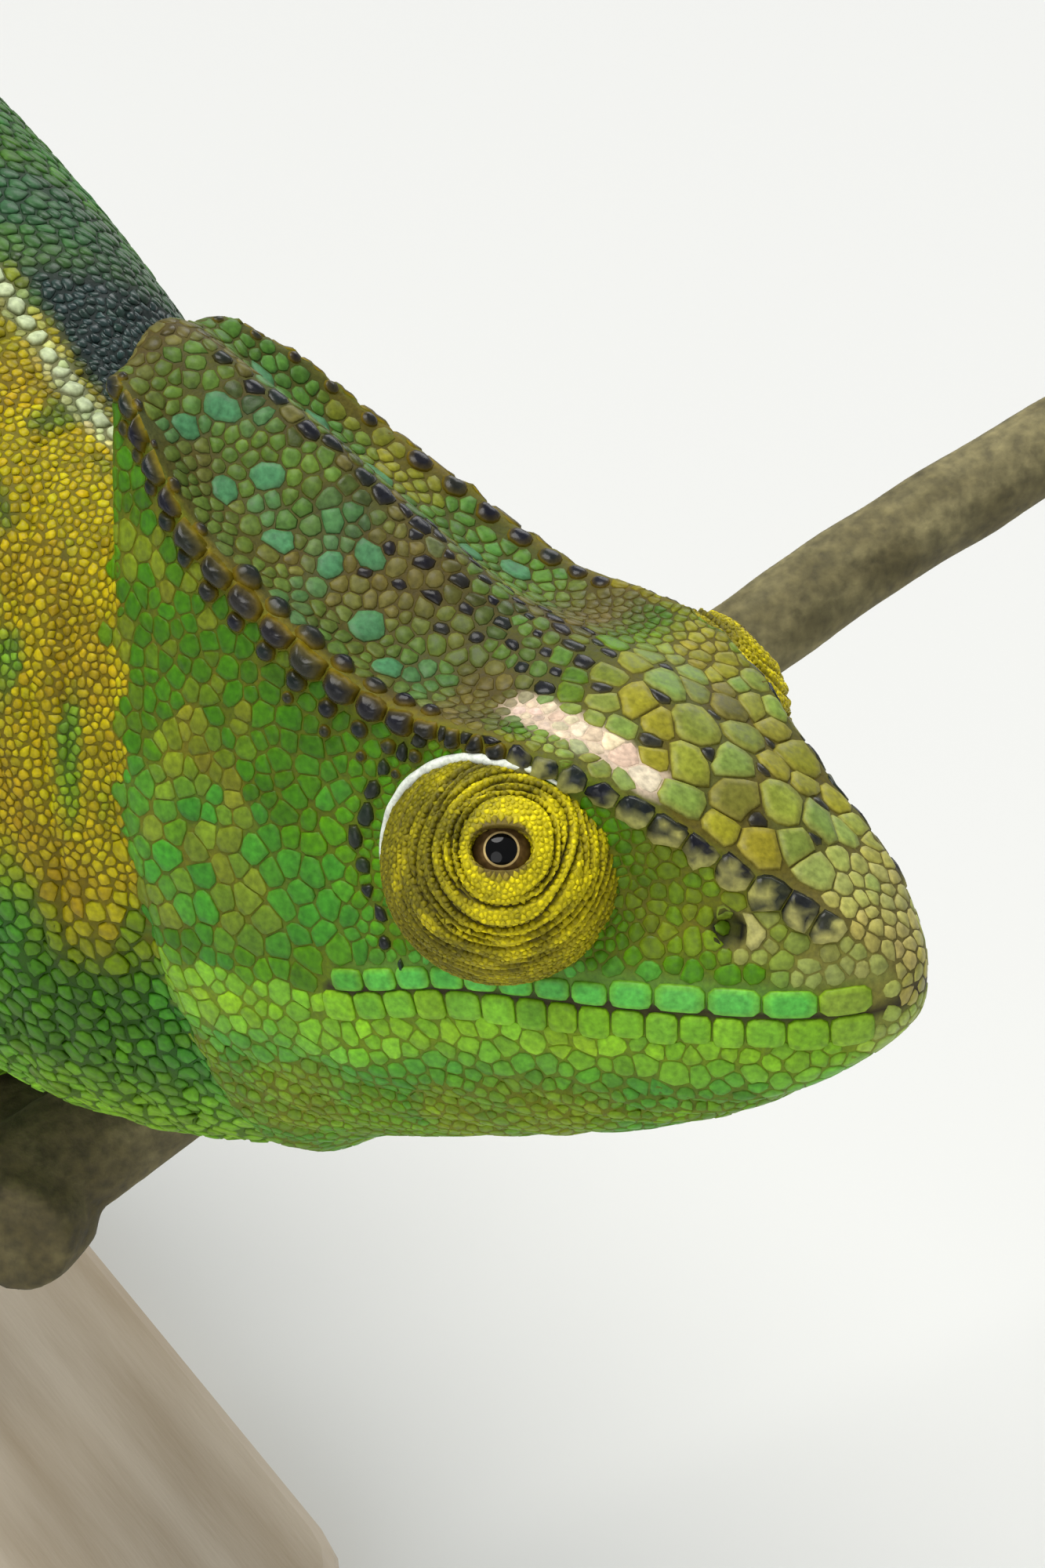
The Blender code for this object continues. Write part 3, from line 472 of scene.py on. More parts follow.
def around_perch(x, angle, radius):
    angle = np.asarray(angle, float)
    place = [x + 0 * angle, radius * np.sin(angle), PERCH_Z + radius * np.cos(angle)]
    return from_body(np.stack(place, axis=-1))


claw_ways = {}
for leg_name, leg in LEGS.items():
    root, bend, wrist = [from_body(p) for p in leg["joints"]]
    palm = around_perch(leg["foot_x"], leg["side"] * PALM_ANGLE, PERCH_RADIUS + GAP + WRIST_RISE)
    knots = [root, mix(root, bend, 0.5), bend + unit(root - bend) * LIMB_ROUNDING,
             bend + unit(wrist - bend) * LIMB_ROUNDING, wrist, palm]
    limb = Way(rounded(knots, 121))
    bend_mark = limb.marks[np.argmin(np.linalg.norm(limb.points - bend, axis=1))]
    wrist_mark = limb.marks[np.argmin(np.linalg.norm(limb.points - wrist, axis=1))]
    stout = leg["stout"]
    width = smooth_curve([(0, 8.4 * stout), (0.5 * bend_mark, 7.0 * stout), (bend_mark, 5.2 * stout),
                          (mix(bend_mark, wrist_mark, 0.4), 5.1 * stout), (wrist_mark, 4.0),
                          (limb.length, 4.4)])
    limb_marks = np.linspace(0, limb.length, 44)
    add_form("limb_" + leg_name, limb.rings(limb_marks, width(limb_marks), 24))
    outward = np.array([0, math.sin(leg["side"] * PALM_ANGLE), math.cos(leg["side"] * PALM_ANGLE)])
    round_perch = np.array([0, outward[2], -outward[1]])
    palm_middle = around_perch(leg["foot_x"], leg["side"] * PALM_ANGLE, PERCH_RADIUS + GAP + PALM_RISE)
    turn = np.linspace(0.05, math.pi - 0.05, 12)
    spin = 2 * math.pi * np.arange(18) / 18
    oval = PALM_WIDE * np.cos(spin)[:, None] * round_perch + PALM_THICK * np.sin(spin)[:, None] * outward
    palm_rings = [palm_middle + np.array([PALM_LONG * math.cos(a), 0, 0]) + math.sin(a) * oval for a in turn]
    add_form("foot_" + leg_name, palm_rings)
    claw_ways[leg_name] = []
    for count, ends in zip(leg["toes"], TOE_ENDS):
        start, end = [leg["side"] * math.radians(a) for a in ends]
        for k in range(count):
            offset = (k - (count - 1) / 2) * TOE_SPACING
            share = np.linspace(0, 1, 30)
            toe = Way(around_perch(leg["foot_x"] + offset + 0.35 * offset * share, mix(start, end, share),
                                   PERCH_RADIUS + GAP + TOE_RADIUS))
            slim = smooth_curve([(0, TOE_RADIUS), (0.75 * toe.length, 0.95 * TOE_RADIUS),
                                 (toe.length, 0.62 * TOE_RADIUS)])
            toe_marks = np.linspace(0, toe.length, 20)
            add_form("foot_" + leg_name, toe.rings(toe_marks, slim(toe_marks), 12))
            sweep = math.copysign(CLAW_LENGTH / (PERCH_RADIUS + 1.5), end - start)
            share = np.linspace(0, 1, 12)
            height = PERCH_RADIUS + GAP + mix(TOE_RADIUS + 0.5, 0.45, share ** 1.3)
            claw_angle = end + mix(-math.copysign(0.12, sweep), sweep, share)
            claw_ways[leg_name].append(Way(around_perch(leg["foot_x"] + 1.35 * offset, claw_angle, height)))
print("limbs:", len(LEGS), "toes:", sum(len(ways) for ways in claw_ways.values()))

# %% [markdown]
# ## Eye cones
#
# The lids are fused into a cone that carries a small round opening. Under the skin it is
# a plain ball a little smaller than the folded lid that goes over it.

# %% Eye frame and the ball under each lid
EYE_CENTRE = np.array([1.75, 12.3, 1.9])
GAZE = np.array([0.414, 0.68, 0.619])
LID_RADIUS = 8.85
LID_OPENING = 2.0
UNDER_LID = 8.2                        # radius of the skin below the lid
PIT_FLOOR = 4.4                        # distance of the pit's floor from the eye's centre


def eye_frame(side):
    """Centre, gaze, and two directions square to it, of one eye in the part's frame."""
    mirror = np.array([1.0, side, 1.0])
    forward = unit(GAZE * mirror @ TURN.T)
    across = unit(np.cross(forward, [0.0, 0.0, 1.0]))
    return from_head(EYE_CENTRE * mirror), forward, across, np.cross(across, forward)


def turned(frame_of_eye, profile, sides):
    """Rings made by turning a profile of (distance along the gaze, radius) round it."""
    centre, forward, across, upward = frame_of_eye
    angle = 2 * math.pi * np.arange(sides) / sides
    out = np.cos(angle)[:, None] * across + np.sin(angle)[:, None] * upward
    return [centre + forward * along + radius * out for along, radius in profile]


for side in (1, -1):
    polar = np.radians(np.linspace(40, 172, 14))
    profile = [(PIT_FLOOR, 0.6), (PIT_FLOOR, 3.2)]
    profile += [(UNDER_LID * math.cos(a), UNDER_LID * math.sin(a)) for a in polar]
    add_form("eye_cone", turned(eye_frame(side), profile, 32))

# %% [markdown]
# ## One skin
#
# Voxel remeshing wraps all forms in one closed mesh of even quads. A few rounds of
# smoothing that shrink and grow by turns soften the joins between limb and trunk
# without thinning the toes.

# %% Wrap, smooth and measure the skin
VOXEL = 0.92
SMOOTH_ROUNDS = 6
COAT_DEPTH = 0.3                       # the skin lies this far inside the solids


def arrays_of(mesh):
    """Vertices and triangles of a mesh."""
    mesh.calc_loop_triangles()
    points = np.empty(len(mesh.vertices) * 3)
    mesh.vertices.foreach_get("co", points)
    corners = np.empty(len(mesh.loop_triangles) * 3, int)
    mesh.loop_triangles.foreach_get("vertices", corners)
    return points.reshape(-1, 3), corners.reshape(-1, 3)


def link_mesh(name, mesh):
    item = bpy.data.objects.new(name, mesh)
    bpy.context.scene.collection.objects.link(item)
    return item


def evaluated_mesh(item):
    """The mesh of an object with its modifiers applied. The object is dropped."""
    bpy.context.view_layer.update()
    seen = item.evaluated_get(bpy.context.evaluated_depsgraph_get())
    mesh = bpy.data.meshes.new_from_object(seen)
    old = item.data
    bpy.data.objects.remove(item)
    bpy.data.meshes.remove(old)
    return mesh


def wrapped(bm, voxel):
    """One even closed mesh round all closed surfaces of a bmesh."""
    bmesh.ops.recalc_face_normals(bm, faces=bm.faces)
    mesh = bpy.data.meshes.new("wrap")
    bm.to_mesh(mesh)
    item = link_mesh("wrap", mesh)
    change = item.modifiers.new("wrap", "REMESH")
    change.mode = "VOXEL"
    change.voxel_size = voxel
    return evaluated_mesh(item)


def corner_normals(points, triangles):
    a, b, c = (points[triangles[:, k]] for k in range(3))
    face = np.cross(b - a, c - a)
    normals = np.zeros_like(points)
    for k in range(3):
        for axis in range(3):
            normals[:, axis] += np.bincount(triangles[:, k], face[:, axis], len(points))
    return unit(normals)


def smoothed(points, edges, rounds, weight=1.0):
    """Even out a mesh, growing back by turns what smoothing shrinks."""
    first, second = edges[:, 0], edges[:, 1]
    degree = np.bincount(edges.ravel(), minlength=len(points))[:, None]
    for step in range(2 * rounds):
        total = np.zeros_like(points)
        for axis in range(3):
            total[:, axis] = (np.bincount(first, points[second, axis], len(points))
                              + np.bincount(second, points[first, axis], len(points)))
        factor = 0.5 if step % 2 == 0 else -0.52
        points = points + weight * factor * (total / degree - points)
    return points


def tree_of(points):
    tree = KDTree(len(points))
    for index, point in enumerate(points):
        tree.insert(point, index)
    tree.balance()
    return tree


def edges_of(mesh):
    edges = np.empty(len(mesh.edges) * 2, int)
    mesh.edges.foreach_get("vertices", edges)
    return edges.reshape(-1, 2)


def bvh_of(points, triangles):
    return BVHTree.FromPolygons([Vector(p) for p in points], triangles.tolist())


skin_mesh = wrapped(forms, VOXEL)
forms.free()
skin_points, skin_triangles = arrays_of(skin_mesh)
line_marks = np.linspace(0, tail.length, 1600)
line_tree = tree_of(tail.at(line_marks) + coil_shift(line_marks))
nearest_mark = line_marks[[line_tree.find(point)[1] for point in skin_points]]
skin_points = smoothed(skin_points - coil_shift(nearest_mark), edges_of(skin_mesh), SMOOTH_ROUNDS)
skin_normals = corner_normals(skin_points, skin_triangles)

all_form_points = np.vstack(form_points)
all_form_places = np.vstack(form_places)
form_tree = tree_of(all_form_points)
nearest_form = np.array([form_tree.find(p)[1] for p in skin_points])
form_list = sorted(set(form_names))
point_form = np.array([form_list.index(name) for name in form_names])
skin_form = point_form[nearest_form]
skin_place = all_form_places[nearest_form]
KINDS = ("head", "trunk", "tail", "limb", "foot", "eye")
kind_of_form = np.array([KINDS.index(name.split("_")[0]) for name in form_list])
skin_kind = kind_of_form[skin_form]
print("skin:", len(skin_points), "points,", len(skin_triangles), "triangles")

# %% [markdown]
# ## Folds
#
# Loose skin folds where the animal bends: upright folds on the neck behind the casque, long
# shallow ones along the throat, and rings at elbows and knees. They are pressed into the
# skin along its normals, as waves that wander with a smooth noise. The casque is also
# hollow between its middle ridge and its two crests.

# %% Smooth noise and the depth of folds and hollows
NECK_FOLD, THROAT_FOLD, LIMB_FOLD = 4.4, 3.6, 3.4      # spacing of the folds
NOSTRIL = np.array([18.5, 8.3, -0.5])


def from_nostril(h, ahead=0.0):
    """Distance from the nostril, or from a place this far ahead of it."""
    x, y, z, _ = near_half(h)
    return np.linalg.norm(np.stack([x - ahead, y, z], axis=1) - NOSTRIL, axis=1)


def speckle(points, size, seed):
    """Smooth noise from 0 to 1 with blotches of about this size."""
    q = points / size + 17.31 * seed
    cell = np.floor(q).astype(np.int64)
    f = ease(q - cell)
    total = np.zeros(len(points))
    for corner in np.ndindex(2, 2, 2):
        at = cell + np.array(corner)
        mixed = (at[:, 0] * 73856093) ^ (at[:, 1] * 19349663) ^ (at[:, 2] * 83492791)
        mixed = (mixed ^ (mixed >> 13)) * 1274126177
        value = ((mixed ^ (mixed >> 16)) & 0xFFFF) / 65535.0
        total += value * np.prod(np.where(corner, f, 1 - f), axis=1)
    return total


def crease(phase, narrow=0.6):
    """Depth from 0 on a fold to 1 in the crease between two."""
    return 1 - np.abs(np.sin(math.pi * phase)) ** narrow


def fold_depth(points, normals, kind, place):
    h = to_head(points)
    x, y, z, station = near_half(h)
    over_lip = z - lip_z(station)
    wander = speckle(points, 9.0, 31)
    on_head, on_trunk, on_limb = kind == 0, kind == 1, kind == 3
    across = np.clip(y / crest_y(station), 0, 1)
    hollow = 1.5 * casque_hollow(station) * ease((station + 29) / 8)
    depth = hollow * np.sin(math.pi * across) ** 2 * on_head * (normals[:, 2] > 0.2)
    depth += 1.3 * ease((1.4 - from_nostril(h)) / 1.0) * on_head
    throat = crease((z + 0.25 * x) / THROAT_FOLD + 1.6 * wander)
    depth += 0.60 * throat * ease((-over_lip - 5) / 3) * on_head
    behind = place[:, 1] * BODY_END
    neck = crease(behind / NECK_FOLD + 1.8 * speckle(points * (1, 1, 0.45), 7.0, 32))
    depth += 0.65 * neck * ease((behind - 1.5) / 3) * ease((38 - behind) / 14) * on_trunk
    bend = 4 * place[:, 1] * (1 - place[:, 1])
    depth += 0.30 * crease(place[:, 1] * 70 / LIMB_FOLD + wander) * ease(bend * 2 - 0.6) * on_limb
    return depth


depth = fold_depth(skin_points, skin_normals, skin_kind, skin_place)
skin_points = skin_points - skin_normals * (COAT_DEPTH + depth)[:, None]
skin_normals = corner_normals(skin_points, skin_triangles)
surface = bvh_of(skin_points, skin_triangles)
print("deepest fold: %.2f mm" % depth.max())

# %% [markdown]
# ## Shader maths
#
# Materials are built from nodes. A small class wraps a socket so that sums and products
# can be written as plain expressions, and one method adds any other node.

# %% Expressions on sockets and a material to hang them on


class Wire:
    """An output socket that takes part in expressions on values."""

    def __init__(self, finish, socket):
        self.finish = finish
        self.socket = socket

    def math(self, operation, first, second=None):
        inputs = {0: first} if second is None else {0: first, 1: second}
        return self.finish.node("Math", {"operation": operation}, inputs)

    def __add__(self, other):
        return self.math("ADD", self, other)

    def __sub__(self, other):
        return self.math("SUBTRACT", self, other)

    def __rsub__(self, other):
        return self.math("SUBTRACT", other, self)

    def __mul__(self, other):
        return self.math("MULTIPLY", self, other)

    __radd__ = __add__
    __rmul__ = __mul__

    def power(self, other):
        return self.math("POWER", self, other)


class Finish:
    """One material. Its Principled shader's constants are set by name."""

    def __init__(self, name, **constants):
        self.material = bpy.data.materials.new(name)
        self.material.use_nodes = True
        self.tree = self.material.node_tree
        self.shader = self.tree.nodes["Principled BSDF"]
        self.set(**constants)

    def node(self, kind, settings, inputs, output=0):
        made = self.tree.nodes.new("ShaderNode" + kind)
        for name, value in settings.items():
            if name == "stops":
                ramp = made.color_ramp
                while len(ramp.elements) < len(value):
                    ramp.elements.new(0.5)
                for element, (place, colour) in zip(ramp.elements, value):
                    element.position = place
                    element.color = (*colour, 1.0)
            else:
                setattr(made, name, value)
        for name, value in inputs.items():
            self.join(made.inputs[name], value)
        return Wire(self, made.outputs[output])

    def join(self, socket, value):
        if isinstance(value, Wire):
            self.tree.links.new(value.socket, socket)
        else:
            socket.default_value = value

    def set(self, **inputs):
        for name, value in inputs.items():
            self.join(self.shader.inputs[name.replace("_", " ")], value)

    def place(self):
        return self.node("TexCoord", {}, {}, "Object")

    def tint(self):
        return self.node("Attribute", {"attribute_name": "tint"}, {}, "Color")

    def scaled_tint(self, factor):
        return self.node("VectorMath", {"operation": "SCALE"}, {0: self.tint(), "Scale": factor})

    def noise(self, scale, detail=3.0, vector=None):
        return self.node("TexNoise", {}, {"Vector": vector or self.place(), "Scale": scale, "Detail": detail})

    def blend(self, factor, first, second, kind="MIX"):
        first, second = [(*c, 1.0) if isinstance(c, tuple) else c for c in (first, second)]
        settings = {"data_type": "RGBA", "blend_type": kind, "clamp_factor": True}
        return self.node("Mix", settings, {0: factor, 6: first, 7: second}, 2)

    def bump(self, height, distance, strength=1.0):
        inputs = {"Height": height, "Distance": distance, "Strength": strength}
        self.set(Normal=self.node("Bump", {}, inputs))

    def spread(self, value, low, high, to_low=0.0, to_high=1.0):
        """Map a value's range onto another one, clipped at both ends."""
        return self.node("MapRange", {"clamp": True}, {0: value, 1: low, 2: high, 3: to_low, 4: to_high})


# %% [markdown]
# ## Keratin
#
# A chameleon's scales are hard, waxy plates with a soft sheen, and the skin between them is
# dull. Both take their colour from an attribute of the mesh called tint, so that the scales
# and the skin below them always agree. The nodes add what is finer than a scale: pale and
# dark flecks, and a faint grain in the sheen. The near-black tubercles are polished.

# %% Scale and skin finishes
scale_finish = Finish("keratin scales", Specular_IOR_Level=0.2)
flecks = scale_finish.noise(1900.0, 4.0)
cloud = scale_finish.noise(240.0, 2.0)
lift = scale_finish.spread(flecks, 0.3, 0.7, 0.72, 1.28) * scale_finish.spread(cloud, 0.3, 0.7, 0.85, 1.15)
tone = scale_finish.node("RGBToBW", {}, {0: scale_finish.tint()})
scale_finish.set(Base_Color=scale_finish.scaled_tint(lift),
                 Roughness=scale_finish.spread(tone, 0.02, 0.10, 0.20, 0.42)
                 + scale_finish.spread(flecks, 0.3, 0.7, -0.05, 0.10))
scale_finish.bump(flecks, 0.00006, 0.5)


def dull_finish(name, shine, grain, low, high, depth):
    """Matt skin that takes its tint from the mesh, with grain of this scale."""
    made = Finish(name, Specular_IOR_Level=shine)
    creases = made.noise(grain, 5.0)
    made.set(Base_Color=made.scaled_tint(made.spread(creases, 0.3, 0.7, 0.75, 1.2)),
             Roughness=made.spread(creases, 0.3, 0.7, low, high))
    made.bump(creases, depth, 0.6)
    return made


skin_finish = dull_finish("skin between the scales", 0.25, 2600.0, 0.55, 0.75, 0.00012)

# %% [markdown]
# ## Markings
#
# A flat table of colours, most the real tone of one part of the animal and a few painted
# light and shade, is laid over the body by rules on place: the labial plates are emerald, the
# snout's top turns from olive to beige, the casque is teal on brown, the neck is yellow. Smooth
# noise breaks up the borders. The body that is turned away is green with faint slanting slate
# bands, and its upper far flank behind the head is painted slate as shade.

# %% Colours
COLOURS = {name: np.array(value) for name, value in {
    "leaf green": (0.046, 0.17, 0.001), "bright green": (0.09, 0.28, 0.001),
    "teal green": (0.045, 0.25, 0.018), "emerald": (0.095, 0.44, 0.060),
    "lime": (0.28, 0.53, 0.010), "ochre": (0.34, 0.23, 0.004),
    "neck yellow": (0.42, 0.34, 0.001), "olive": (0.25, 0.23, 0.012),
    "brown olive": (0.125, 0.110, 0.026), "dark brown": (0.035, 0.026, 0.008),
    "snout green": (0.17, 0.27, 0.05), "casque green": (0.07, 0.19, 0.022),
    "casque teal": (0.06, 0.21, 0.085), "blue black": (0.010, 0.010, 0.017),
    # The pale pink below is a painted sunlit highlight, not a skin colour.
    "beige": (0.46, 0.43, 0.14), "painted highlight pink": (0.80, 0.62, 0.46),
    "lid yellow": (0.76, 0.64, 0.001), "lid olive": (0.23, 0.20, 0.001),
    # The dark brown below darkens the lids' creases as painted shade.
    "painted crease shade": (0.040, 0.026, 0.002), "eye brown": (0.11, 0.065, 0.024),
    "slate": (0.022, 0.034, 0.042), "off white": (0.50, 0.58, 0.34),
    "throat green": (0.13, 0.29, 0.004), "black": (0.003, 0.003, 0.003),
    "pupil": (0.002, 0.002, 0.002), "gold": (0.62, 0.46, 0.20),
    "socket white": (0.80, 0.84, 0.74), "bark dark": (0.060, 0.046, 0.018),
    "bark pale": (0.27, 0.235, 0.115)}.items()}


def all_of(name, points):
    return np.tile(COLOURS[name], (len(points), 1))


def wash(base, name, amount):
    return base + (COLOURS[name] - base) * np.clip(amount, 0, 1)[:, None]


def washed(base, *layers):
    """Lay named colours over a base, one after the other, each by its amount."""
    for name, amount in layers:
        base = wash(base, name, amount)
    return base


# %% Markings of the head
# Ends of a painted sunlit highlight: a pale pink streak over the near brow.
HIGHLIGHT_START, HIGHLIGHT_END = np.array([0.5, -7.6, 12.9]), np.array([11.2, -7.3, 9.6])


def line_distance(points, start, end):
    share = np.clip((points - start) @ (end - start) / ((end - start) @ (end - start)), 0, 1)
    return np.linalg.norm(points - start - share[:, None] * (end - start), axis=1)


def on_crown(h):
    """1 on top of the head between the crests, 0 on its sides."""
    x, y, z, station = near_half(h)
    over = z - crest_z(station)
    inside = ease((0.97 - y / crest_y(station)) / 0.08) * ease((over + 4.0) / 1.5)
    return np.maximum(inside, ease((over + 0.8) / 1.0))


def head_colour(h):
    x, y, z, station = near_half(h)
    on_top = on_crown(h)
    coarse, fine, blotch = speckle(h, 6.0, 1), speckle(h, 1.9, 2), speckle(h, 3.2, 5)
    over_lip = z - lip_z(station)
    over_crest = z - crest_z(station)
    streak = speckle(h * (1, 1, 0.22), 1.3, 16)
    under = ease(-over_lip / 1.0)
    lime = mix(0.2, 0.45, ease((-over_lip - 2.4) / 1.0)) + 0.55 * speckle(h, 2.4, 6)
    snout_top = on_top * ease((x - 1) / 5)
    tip = ease((x - 20.5) / 5.0) * ease((over_lip - 1.8) / 1.5)
    crown = on_top * ease((3 - x) / 5)
    edge_band = ease((y / crest_y(station) - 0.5) / 0.2) * ease((-6 - x) / 6)
    green_casque = np.maximum(0.7 * ease((coarse - 0.54) * 5), 0.5 * edge_band)
    far_half = ease((h[:, 1] - 2.0) / 3.0) * ease((-x - 3) / 6)
    brow = ease((over_crest + 2.6) / 1.0) * ease((y / crest_y(station) - 0.86) / 0.06) * ease((x + 30) / 6)
    return washed(
        all_of("leaf green", h),
        ("bright green", 0.6 * ease((coarse - 0.4) * 3)),
        ("teal green", 0.85 * ease((-2 - x) / 8) * ease((blotch - 0.35) * 4) * ease((8 - z) / 4)),
        ("olive", 0.55 * ease((-14 - x) / 6) * ease((fine - 0.6) * 5)),
        ("olive", ease((x - 8) / 5) * ease((over_lip - 3.5) / 2) * (0.1 + 0.7 * fine)),
        ("emerald", ease((3.3 - over_lip) / 1.0) * ease((x + 12) / 6) * (over_lip > -0.2)),
        ("olive", 0.7 * ease((over_lip - 0.2) / 0.4) * ease((2.8 - over_lip) / 0.8) * ease((x - 23) / 3)),
        ("olive", 0.5 * ease((streak - 0.6) * 6) * ease((-13 - x) / 5) * ease((over_lip - 1) / 3)),
        ("emerald", under * (0.2 + 0.5 * fine)),
        ("lime", under * ease((8 + over_lip) / 5) * lime),
        ("throat green", ease((-over_lip - 6.5) / 4.0)),
        ("teal green", 0.7 * ease((-over_lip - 5) / 4.0) * ease((blotch - 0.45) * 4)),
        ("ochre", 0.2 * ease((-over_lip - 6) / 3.0) * ease((coarse - 0.55) * 5)),
        ("olive", snout_top),
        ("snout green", 0.9 * snout_top * ease((blotch - 0.4) * 4)),
        ("brown olive", 0.8 * snout_top * ease((0.42 - coarse) * 5)),
        ("beige", tip * (0.35 + 0.55 * fine)),
        ("beige", 0.5 * ease((x - 26.5) / 2.0)),
        ("brown olive", crown),
        ("casque green", crown * green_casque),
        ("casque teal", 0.6 * crown * ease((blotch - 0.62) * 6) * ease((-x - 4) / 5)),
        ("dark brown", 0.7 * crown * ease((4.5 - y) / 3) * ease((fine - 0.45) * 4)),
        ("casque green", 0.85 * crown * far_half),
        ("ochre", 0.5 * crown * far_half * ease((coarse - 0.5) * 5)),
        ("ochre", 0.7 * brow * ease((6.5 - x) / 6) * (0.4 + 0.6 * fine)),
        ("beige", 0.6 * ease((2.6 - from_nostril(h, 1.4)) / 1.0)),
        # Painted highlight: a pale pink streak where sunlight fell on the brow.
        ("painted highlight pink", 0.85 * ease((1.9 - line_distance(h, HIGHLIGHT_START, HIGHLIGHT_END)) / 0.8)))


# %% Markings of the body, the tail and the limbs
BAND_SPACING = 34.0
TAIL_BAND = 26.0


def body_colour(points, normals, share):
    b = points - BODY_ORIGIN
    x, z = b[:, 0], b[:, 2]
    behind = share * BODY_END
    coarse, fine, streak = speckle(b, 9.0, 7), speckle(b, 2.4, 8), speckle(b * (1, 1, 0.28), 2.6, 14)
    height = (z - body_low(behind)) / (body_top(behind) - body_low(behind))
    band = ease((np.sin(2 * math.pi * (x + 0.55 * z + 5 * coarse) / BAND_SPACING) - 0.1) / 0.7)
    off_spine = b[:, 1] - np.interp(behind, trunk_marks, spine_line[:, 1] - BODY_ORIGIN[1])
    # Painted shade: the far side of the spine behind the head lay in shadow.
    shaded_far_side = ease((off_spine - 1.0) / 2.0) * ease((40 - behind) / 12)
    near_head = ease((30 + 14 * coarse - behind) / 16) * ease((height - 0.28 - 0.16 * coarse) / 0.18)
    spine = ease((1.5 - np.abs(off_spine)) / 0.8) * (normals[:, 2] > 0.4)
    return washed(
        all_of("leaf green", b),
        ("teal green", ease((coarse - 0.35) * 2.5)),
        ("bright green", 0.6 * ease((fine - 0.55) * 4)),
        ("slate", 0.5 * band * ease((height - 0.25) / 0.3) * ease((behind - 26) / 14)),
        ("slate", 0.5 * ease((height - 0.72) / 0.2) * (0.4 + 0.6 * coarse)),
        ("lime", 0.5 * ease((0.25 - height) / 0.2)),
        ("neck yellow", near_head * (1 - shaded_far_side) * (1 - 0.75 * ease((streak - 0.55) * 5))),
        ("ochre", 0.6 * near_head * (1 - shaded_far_side) * ease((speckle(b, 5.0, 15) - 0.5) * 4)),
        # Painted shade: the upper far flank is darkened to slate and keeps no neck yellow.
        ("slate", 0.9 * shaded_far_side * ease((height - 0.45) / 0.2)),
        ("off white", (0.3 + 0.4 * ease((70 - behind) / 40)) * spine * (0.3 + 0.7 * fine)))


spine_line = np.array([body_ring(d)[0] for d in trunk_marks])


def tail_colour(points, share):
    coarse = speckle(points, 6.0, 9)
    band = ease((np.sin(2 * math.pi * (share * tail.length + 4 * coarse) / TAIL_BAND) - 0.1) / 0.6)
    return washed(
        all_of("leaf green", points),
        ("teal green", ease((coarse - 0.4) * 3)),
        ("slate", 0.6 * band))


def limb_colour(points, share, foot):
    coarse, fine = speckle(points, 5.0, 11), speckle(points, 1.6, 12)
    return washed(
        all_of("leaf green", points),
        ("teal green", ease((coarse - 0.4) * 3)),
        ("olive", 0.5 * ease((fine - 0.5) * 3)),
        ("lime", foot * (0.35 + 0.4 * fine)))


def lid_colour(points):
    ahead = (to_head(points)[:, 0] - EYE_CENTRE[0]) / LID_RADIUS
    above = (to_head(points)[:, 2] - EYE_CENTRE[2]) / LID_RADIUS
    # The lid is yellow towards the front; its lift towards the top is painted light from above.
    bright = 0.32 + 0.75 * ahead + 0.2 * above + 1.4 * (speckle(points, 1.8, 13) - 0.5)
    return wash(all_of("lid olive", points), "lid yellow", ease(bright))


def paint(points, normals, form, place):
    """Colour of any point of the skin, from the form below it and its place there."""
    colour = np.zeros((len(points), 3))
    for index, name in enumerate(form_list):
        here = form == index
        if not here.any():
            continue
        p, n, share = points[here], normals[here], place[here, 1]
        if name == "head":
            colour[here] = head_colour(to_head(p))
        elif name == "trunk":
            colour[here] = body_colour(p, n, share)
        elif name == "tail":
            colour[here] = tail_colour(p, share)
        elif name == "eye_cone":
            colour[here] = lid_colour(p)
        else:
            colour[here] = limb_colour(p, share, float(name.startswith("foot")))
    return colour


skin_colour = paint(skin_points, skin_normals, skin_form, skin_place)
print("skin colour, mean:", skin_colour.mean(axis=0).round(3))

# %% [markdown]
# ## Finished pieces
#
# A helper turns arrays or a bmesh in millimetres into an object in metres, gives it its
# finish and its tint, shades it smooth and lets it ride on the model's one body.

# %% Make a piece from arrays or from a bmesh


def add_tint(mesh, colours):
    layer = mesh.color_attributes.new("tint", "FLOAT_COLOR", "POINT")
    layer.data.foreach_set("color", np.hstack([colours, np.ones((len(colours), 1))]).ravel())


def finished(name, mesh, finish):
    mesh.name = name
    mesh.materials.clear()
    mesh.materials.append(finish.material)
    mesh.shade_smooth()
    item = link_mesh(name, mesh)
    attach(item, "root")
    return item


def piece_from_bmesh(name, bm, finish, colour_of=None):
    bmesh.ops.recalc_face_normals(bm, faces=bm.faces)
    mesh = bpy.data.meshes.new(name)
    bm.to_mesh(mesh)
    bm.free()
    points, _ = arrays_of(mesh)
    if colour_of:
        add_tint(mesh, colour_of(points))
    mesh.vertices.foreach_set("co", (points * MM).ravel())
    return finished(name, mesh, finish)


